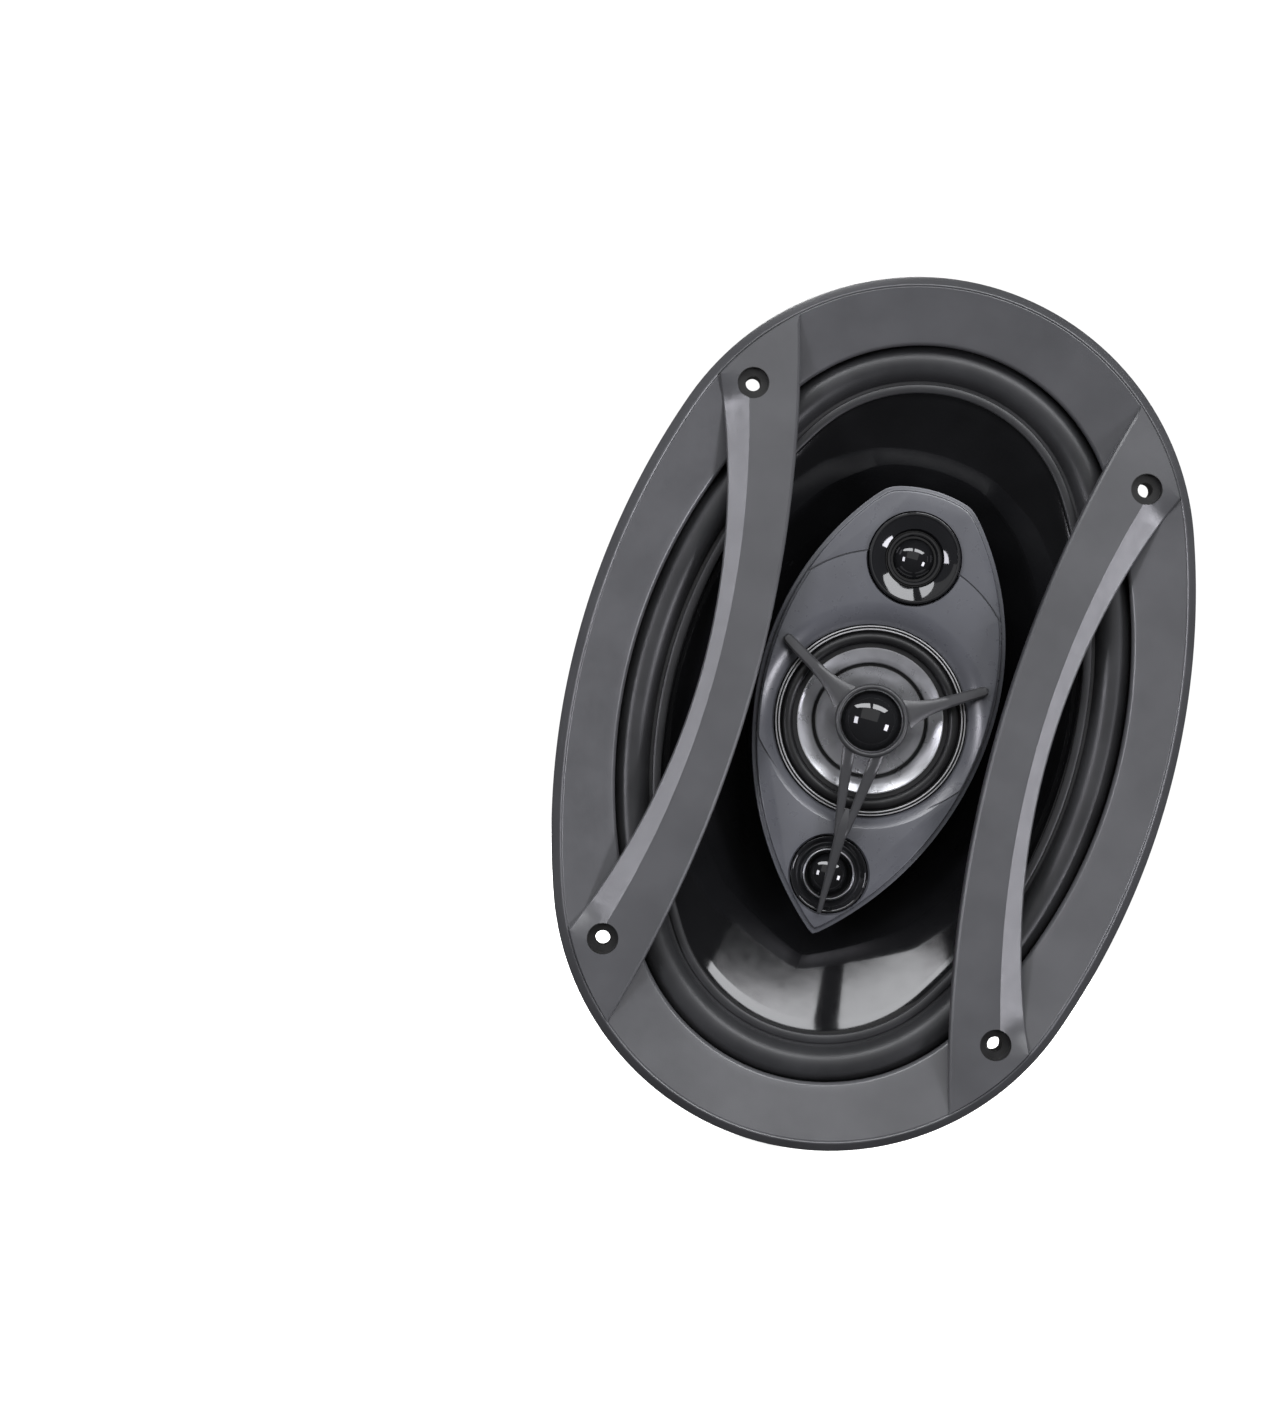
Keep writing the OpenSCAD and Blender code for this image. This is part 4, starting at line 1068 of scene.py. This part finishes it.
def pod():
    seam = reach("pod_face", "z", 0)
    rim = FACE_Z - 1.5
    shell = pod_loft("pod_face_shell", [(0.25, seam), (0, seam + 0.25), (0, rim - 0.35), (0.1, rim - 0.1),
                                        (0.35, rim), (0.95, rim), (1.15, rim + 0.1), (1.22, rim + 0.4),
                                        (1.3, FACE_Z - 0.5), (1.5, FACE_Z - 0.15), (1.9, FACE_Z)])
    shield = pod_loft("shield", [(1.95, FACE_Z - 0.3), (1.95, SHIELD_Z - 0.35), (2.1, SHIELD_Z - 0.1),
                                 (2.4, SHIELD_Z)])
    disc = lathe("disc", rounded([(0, 0, 0), (37.6, 0, 0), (37.6, SHIELD_Z, 0.45), (0, SHIELD_Z, 0)], 3), 9.0,
                 220)
    combine(shield, [disc], "INTERSECT")
    combine(shell, [shield], "UNION")
    cavity = pod_loft("cavity", [(1.6, seam - 1), (1.6, FACE_Z - 2.2)])
    cutters = [cavity,
               countersink(MID_Y, 27.3, SHIELD_Z - 3, SHIELD_Z, 31.8, 20, 2.0),
               lathe("groove", [(37.55, FACE_Z - 0.5), (37.95, FACE_Z - 0.5), (37.95, 20), (37.55, 20)], 9.0,
                     220),
               countersink(TOP_Y, 13.3, FACE_Z - 0.3, SHIELD_Z, 13.7, 20),
               countersink(LOW_Y, 11.1, FACE_Z - 1, FACE_Z, 11.6, 20)]
    combine(shell, cutters, "DIFFERENCE")
    soften(shell, 0.22, 2, 32)
    finish_piece(shell, "chassis", POD, ["pod_face"], sharp=30)
    back = reach("pod_rear", "z", 0)
    floor_z = seam - 6
    rear = pod_loft("pod_rear_shell", [(9.6, floor_z), (9, floor_z + 0.5), (0.9, seam - 0.4),
                                       (0.6, seam - 0.15),
                                       (0.6, seam - 0.02)])
    bump = lathe("bump", rounded([(0, back, 0), (19, back, 1.2), (19, floor_z + 1, 0), (0, floor_z + 1, 0)]),
                 MID_Y, 120)
    combine(rear, [bump], "UNION")
    cutters = [pod_loft("inside", [(10.6, floor_z + 1.6), (2.2, seam - 0.9), (2.2, seam + 1)]),
               lathe("well", [(0, back + 1.6), (17.4, back + 1.6), (17.4, floor_z + 3), (0, floor_z + 3)],
                     MID_Y, 120),
               pin("bore", 0, 0, 5.05, back - 3, 5.05, back + 4, 64)]
    for x, y in POD_SCREWS:
        cutters.append(pin("screw_bore", x, y, 1.25, floor_z - 3, 1.25, floor_z + 3, 32))
    combine(rear, cutters, "DIFFERENCE")
    soften(rear, 0.25, 2, 40)
    finish_piece(rear, "chassis", POD_BLACK, ["pod_rear"], sharp=35)
    for i, (x, y) in enumerate(POD_SCREWS):
        head = floor_z - 1.5
        screw = lathe(f"pod_screw_{i + 1}", rounded([
            (0, head + 0.7, 0), (0.9, head + 0.7, 0.1), (1.2, head, 0.2), (2.0, head + 0.1, 0.3),
                                                     (2.2, head + 0.9, 0.3),
            (2.2, floor_z, 0.1), (1.1, floor_z, 0), (1.1, seam + 5, 0.4), (0, seam + 5, 0)], 3), 0, 36)
        shifted(screw, x, y)
        finish_piece(screw, "chassis", SCREW, ["pod_screws"])
    plate_z = reach("top_plate", "z", 1)
    stem = reach("pod_post", "z", 0)
    post = lathe("pod_post_turned", rounded([
        (3.2, stem, 0.2), (5, stem, 0.4), (5, plate_z, 0), (8, plate_z, 0.3), (8, back - 5, 1.2),
                                             (12, back - 1.6, 0.5),
        (12, back - 0.02, 0.3), (5, back - 0.02, 0), (5, back + 1.6, 0.2), (3.2, back + 1.6, 0.2)]), 0, 96)
    finish_piece(post, "chassis", POD_BLACK, ["pod_post"])


# ------------------------------------------------------------------ midrange and tweeters

def midrange():
    land = 1.05
    coil = 6.2
    mouth = 22.1
    basket_line = rounded([(7.3, -8.3, 0.2), (14.8, -8.3, 0.6), (mouth + 0.8, -2.4, 0.4),
                           (mouth + 0.8, 0, 0.2),
                           (26.8, 0, 0.2), (26.8, 1, 0.2), (mouth, 1, 0.2), (mouth, -1.6, 0.4),
                           (14, -7.5, 0.5),
                           (7.3, -7.5, 0.2)])
    finish_piece(lathe("mid_basket_pressing", basket_line, MID_Y), "chassis", MID_STEEL, ["mid_basket"])
    roll, thick, at = 1.7, 0.3, 23.6
    line = [(at - roll - 1.2, land), (at - roll - 1.2, land + thick), (at - roll - 0.1, land + thick)]
    for k in range(1, 16):
        a = pi - pi * k / 16
        line.append((at + roll * cos(a), land + roll * sin(a)))
    line += [(at + roll + 0.1, land + thick), (at + roll + 1.3, land + thick), (at + roll + 1.3, land)]
    for k in range(13):
        a = pi * k / 12
        line.append((at + (roll - thick) * cos(a), land + (roll - thick) * sin(a)))
    skin = lathe("mid_surround_roll", line, MID_Y)
    finish_piece(skin, None, MID_ROLL, ["mid_surround"], sharp=50)
    flex(skin, lambda x, y: 1 - smoothstep((hypot(x, y - MID_Y) - 21.6) / 3.6))
    neck = coil + 0.25
    slope = (0.5 + 4.6) / (20.4 - neck)

    def cone_z(r):
        return -4.6 + slope * (r - neck)

    top = [(neck, cone_z(neck) + 0.5), (9, cone_z(9) + 0.5), (12, cone_z(12) + 0.5),
           (15.2, cone_z(15.2) + 0.5),
           (15.45, cone_z(15.4) + 0.42), (15.7, cone_z(15.7) + 0.12), (16.2, cone_z(16.2) + 0.12),
           (16.45, cone_z(16.4) + 0.42), (16.7, cone_z(16.7) + 0.5), (18.5, cone_z(18.5) + 0.5),
           (20.4, cone_z(20.4) + 0.5), (21.6, 1.0), (21.6, 0.5), (20.4, 0.5), (neck, -4.6)]
    finish_piece(lathe("mid_cone_film", top, MID_Y), "midrange_cone", SILVER, ["mid_cone"], sharp=20)
    inner, outer, n = coil + 0.3, 14.2, 48
    ridge = [(lerp(inner, outer, i / n), -6.2 + 0.35 * sin(TAU * 3 * i / n)) for i in range(n + 1)]
    disc = lathe("mid_spider_disc", ridge + [(r, z - 0.3) for r, z in reversed(ridge)], MID_Y, 96)
    finish_piece(disc, None, SPIDER, ["mid_spider"], sharp=60)
    flex(disc,
         lambda x, y: 1 - smoothstep((hypot(x, y - MID_Y) - inner - 0.4) / (outer - inner - 0.8)))
    low, r = land + 0.35, 27.0
    bezel_line = [(r - 1.5, low, 0), (r - 1.5, low + 0.75, 0.1), (r - 1.25, low + 1.2, 0.12),
                  (r - 1.0, low + 1.2, 0.12),
                  (r - 0.85, low + 0.6, 0.08), (r - 0.65, low + 0.6, 0.08), (r - 0.5, low + 1.3, 0.12),
                  (r - 0.2, low + 1.3, 0.12), (r - 0.05, low + 0.9, 0.08), (r - 0.05, 1.05, 0),
                  (r - 0.35, 1.05, 0),
                  (r - 0.35, low, 0)]
    bezel = lathe("mid_bezel_ring", rounded(bezel_line, 3), MID_Y, 200)
    finish_piece(bezel, "chassis", BEZEL, ["mid_bezel"], sharp=40)


def cap(name, r, rise, z, y, thick=0.4, n=26):
    """A thin spherical dome whose rim, of radius r, lies at the height z."""
    s = (r * r + rise * rise) / (2 * rise)
    angle = asin(min(r / s, 1))
    outer = [(s * sin(angle * (1 - i / n)),
              z + rise - s + s * cos(angle * (1 - i / n))) for i in range(n + 1)]
    inner = [(max(u - thick * u / r * 0.9, 0), v - thick) for u, v in reversed(outer)]
    inner[-1] = (inner[-1][0], z)
    return lathe(name, outer + inner, y, 96)


def tweeters():
    body = rounded([(0, -13.8, 0), (2.5, -13.8, 0.2), (2.5, 2.2, 0), (7.6, 2.2, 0.6), (8.6, 3.0, 0.6),
                    (8.6, 7.5, 0.3),
                    (7.8, 7.5, 0.2), (7.8, 3.4, 0), (0, 3.4, 0)])
    finish_piece(lathe("hub_tweeter_housing", body, MID_Y, 96), "chassis", HORN, ["hub_tweeter_body"])
    finish_piece(cap("hub_dome_cap", 8.3, 3.6, 7.8, MID_Y), "hub_dome", DOME, ["hub_tweeter_dome"], sharp=50)
    lip = FACE_Z + 1.3
    bowl = [(12.3 - 0.6 * k, lip - 0.3 - 0.17 * k - 0.008 * k * k) for k in range(7)]
    horn = [(0, -2.6), (12.8, -2.6), (13.0, -2.4), (13.0, lip - 0.5), (12.85, lip - 0.12), (12.5, lip),
            (12.1, lip - 0.1)]
    horn += [(r - 0.3, z) for r, z in bowl]
    horn += [(8.0, 0.8), (7.9, -0.3), (7.7, -0.3), (7.65, 1.0), (7.5, 1.2), (6.9, 1.2), (6.7, 1.0),
             (6.4, -1.4), (0, -1.4)]
    finish_piece(lathe("top_tweeter_bowl", horn, TOP_Y, 128), "chassis", HORN, ["top_tweeter_horn"], sharp=38)
    finish_piece(cap("top_dome_cap", 5.8, 2.8, -0.8, TOP_Y), "top_dome", DOME, ["top_tweeter_dome"], sharp=50)
    lip = FACE_Z
    cup = rounded([(0, -2.6, 0), (10.8, -2.6, 0.2), (10.8, lip - 0.6, 0.2), (10.2, lip - 0.7, 0.3),
                   (7.9, 0.4, 0.5),
                   (6.6, 0.4, 0.2), (6.4, -1.4, 0), (0, -1.4, 0)])
    finish_piece(lathe("low_tweeter_recess", cup, LOW_Y, 128), "chassis", HORN, ["low_tweeter_cup"], sharp=38)
    ring = rounded([(6.6, 0.42, 0.1), (7.5, 0.42, 0.1), (7.5, 1.5, 0.35), (7.2, 1.9, 0.3), (6.8, 1.9, 0.3),
                    (6.6, 1.4, 0.2)])
    finish_piece(lathe("low_tweeter_trim", ring, LOW_Y, 96), "chassis", CHROME, ["low_tweeter_ring"])
    finish_piece(cap("low_dome_cap", 5.8, 2.6, -0.8, LOW_Y), "low_dome", DOME, ["low_tweeter_dome"], sharp=50)


def strut(path, n=16):
    """A bar through (x, y, z, half width, half height) stations with a rounded section."""
    verts = []
    for i, (x, y, z, w, h) in enumerate(path):
        a, b = path[max(i - 1, 0)], path[min(i + 1, len(path) - 1)]
        ahead = Vector((b[0] - a[0], b[1] - a[1])).normalized()
        aside = Vector((-ahead.y, ahead.x))
        for t in turns(n, TAU / n / 2):
            c, s = cos(t), sin(t)
            k = (abs(c) ** 5 + abs(s) ** 5) ** -0.2
            verts.append(point(x + aside.x * w * c * k, y + aside.y * w * c * k, z + h * s * k))
    return mesh_object("strut", verts, quads(len(path), n, False) + caps(len(path), n))


def tapered(start, end, steps=10, nose=1.0):
    """Stations from start to end, each (x, y, z, half width, half height), with a round nose at the end."""
    out = [tuple(lerp(a, b, k / steps) for a, b in zip(start, end)) for k in range(steps + 1)]
    ahead = (Vector(end[:3]) - Vector(start[:3])).normalized()
    for k in range(1, 5):
        t = pi / 2 * k / 4
        tip = Vector(end[:3]) + ahead * nose * sin(t)
        out.append((*tip, max(end[3] * cos(t), 0.12), max(end[4] * (0.5 + 0.5 * cos(t)), 0.12)))
    return out


def guard():
    under = 7.0
    half = 1.3
    mid = under + half
    hub_line = rounded([(8.9, under, 0.3), (10.4, under, 0.4), (10.4, under + 3.0, 0.7),
                        (9.9, under + 3.6, 0.5),
                        (9.3, under + 3.6, 0.4), (8.9, under + 3.1, 0.3)], 3)
    hub = lathe("guard_spider", hub_line, MID_Y, 120)
    foot = SHIELD_Z + half + 0.05
    arms = []
    for side in PAIR:
        arm = tapered((side * 9.0, MID_Y + 4.4, mid, 4.3, half),
                      (side * 28.4, MID_Y + 16.2, foot, 1.45, half), 16, 1.5)
        arms.append(strut([(x, y, z, w - 1.9 * sin(pi * min(k / 16, 1)) ** 0.8 * (1 - k / 20), h)
                           if k < 16 else (x, y, z, w, h) for k, (x, y, z, w, h) in enumerate(arm)]))
        arms.append(strut(tapered((side * 4.2, MID_Y - 8.6, mid, 1.9, half),
                                  (side * 1.0, MID_Y - 33.5, mid - 1.05, 0.9,
                                                                              half * 0.8), 12)))
    blade = [(0, MID_Y - 25.6, mid - 0.9, 0.6, half * 0.7), (0, MID_Y - 27.6, mid - 0.8, 1.3, half * 0.9)]
    blade += tapered((0, MID_Y - 31, mid - 0.85, 1.75, half),
                     (0, MID_Y - 55.4, FACE_Z + half + 0.05, 0.7, half), 14, 1.2)
    arms.append(strut(blade))
    core = pin("core", 0, MID_Y, 8.88, 0, 8.88, 30, 120)
    combine(hub, arms, "UNION")
    combine(hub, [core], "DIFFERENCE")
    finish_piece(hub, "chassis", GUARD, ["guard"], sharp=34)


# ------------------------------------------------------------------ carried-over CAD nodes

CAD_LOOKS = {
    "coil_former": FORMER, "voice_coil": COPPER, "terminal_board": BOARD, "terminal_rivets": RIVET,
    "terminal_positive": TINNED, "terminal_negative": TINNED, "pod_leads": PVC,
             "crossover_capacitors": SLEEVE,
    "mid_former": FORMER, "mid_coil": COPPER, "mid_top_plate": ZINC, "mid_magnet": FERRITE,
             "mid_back_plate": ZINC,
    "hub_tweeter_magnet": ZINC, "top_tweeter_magnet": ZINC, "low_tweeter_magnet": ZINC,
}


def repaint():
    for node, look in CAD_LOOKS.items():
        obj = frame["nodes"][node]
        for slot in obj.material_slots:
            slot.material = look


# ------------------------------------------------------------------ stage, lights and camera

def soft_light(name, place, aim, width, height, power, tone=(1, 1, 1)):
    light = bpy.data.lights.new(name, "AREA")
    light.shape = "RECTANGLE"
    light.size, light.size_y = width, height
    light.energy = power
    light.color = tone
    obj = bpy.data.objects.new(name, light)
    bpy.context.scene.collection.objects.link(obj)
    obj.location = place
    obj.rotation_euler = (Vector(aim) - Vector(place)).to_track_quat("-Z", "Y").to_euler()
    return obj


def world():
    """White to the eye, soft grey as a light and dark in reflections, as a tent with black flags is."""
    scene_world = bpy.data.worlds.new("studio")
    bpy.context.scene.world = scene_world
    scene_world.use_nodes = True
    tree = scene_world.node_tree
    back = tree.nodes["Background"]
    path = tree.nodes.new("ShaderNodeLightPath")
    both = tree.nodes.new("ShaderNodeMath")
    both.operation = "MULTIPLY"
    for i, (ray, otherwise, then) in enumerate((("Is Camera Ray", 0.13, 1.05), ("Is Glossy Ray", 1.0, 0.3))):
        share = tree.nodes.new("ShaderNodeMapRange")
        share.inputs["To Min"].default_value = otherwise
        share.inputs["To Max"].default_value = then
        tree.links.new(path.outputs[ray], share.inputs["Value"])
        tree.links.new(share.outputs["Result"], both.inputs[i])
    tree.links.new(both.outputs["Value"], back.inputs["Strength"])
    back.inputs["Color"].default_value = (1, 1, 1, 1)


def studio():
    world()
    floor_z = cad_bounds[0][2]
    size = 4.0
    floor = mesh_object("studio_floor", [(sx * size, sy * size, floor_z - 0.0005)
                                         for sx, sy in ((-1, -1), (1, -1), (1, 1), (-1, 1))], [(0, 1, 2, 3)])
    look = Look("floor_card", 0.9)
    look.tones(look.noise(3, 2), grey(0.78), grey(0.8))
    look.shader.inputs["Emission Color"].default_value = (1, 1, 1, 1)
    look.shader.inputs["Emission Strength"].default_value = 0.95
    floor.data.materials.append(look.mat)
    floor.visible_diffuse = False
    floor.visible_glossy = False
    floor.visible_shadow = False
    sky = (0.96, 0.97, 1.0)
    soft_light("softbox_right", (0.40, -1.03, 0.9), (0.40, -1.03, 0), 1.0, 0.5, 16, sky)
    soft_light("softbox_left", (-0.98, -1.03, 0.9), (-0.98, -1.03, 0), 1.4, 0.5, 22, sky)
    soft_light("low_strip_left", (-0.93, -1.0, -0.19), (0, 0, 0), 0.26, 0.42, 6, (0.93, 0.92, 1.0))
    soft_light("low_strip_right", (1.15, -1.0, -0.19), (0, 0, 0), 0.3, 0.42, 9, (0.93, 0.92, 1.0))
    soft_light("front_fill", (-0.2, -1.6, 0.5), (0, 0, 0), 1.6, 1.0, 3)
    soft_light("back_fill", (0.3, 1.5, 0.9), (0, 0, 0), 1.6, 1.2, 60).visible_glossy = False
    soft_light("back_strip", (-0.5, 1.4, 1.1), (0, 0, 0), 0.7, 0.5, 9)


def camera():
    data = bpy.data.cameras.new("photo_camera")
    data.lens = 100
    data.sensor_fit = "VERTICAL"
    data.sensor_height = 36
    obj = bpy.data.objects.new("photo_camera", data)
    bpy.context.scene.collection.objects.link(obj)
    lean = radians(15.2)
    right, up = (cos(lean), 0, sin(lean)), (-sin(lean), 0, cos(lean))
    place = (-0.0643, -1.115, -0.0159)
    rows = [(right[i], up[i], (0, -1, 0)[i], place[i]) for i in range(3)] + [(0, 0, 0, 1)]
    obj.matrix_world = Matrix(rows)
    bpy.context.scene.camera = obj


camera()
studio()
repaint()
trim_ring()
basket()
gasket()
surround()
cone()
spider()
tinsel_leads()
motor()
rivets()
pod()
midrange()
tweeters()
guard()

bpy.context.scene.view_settings.view_transform = "Standard"
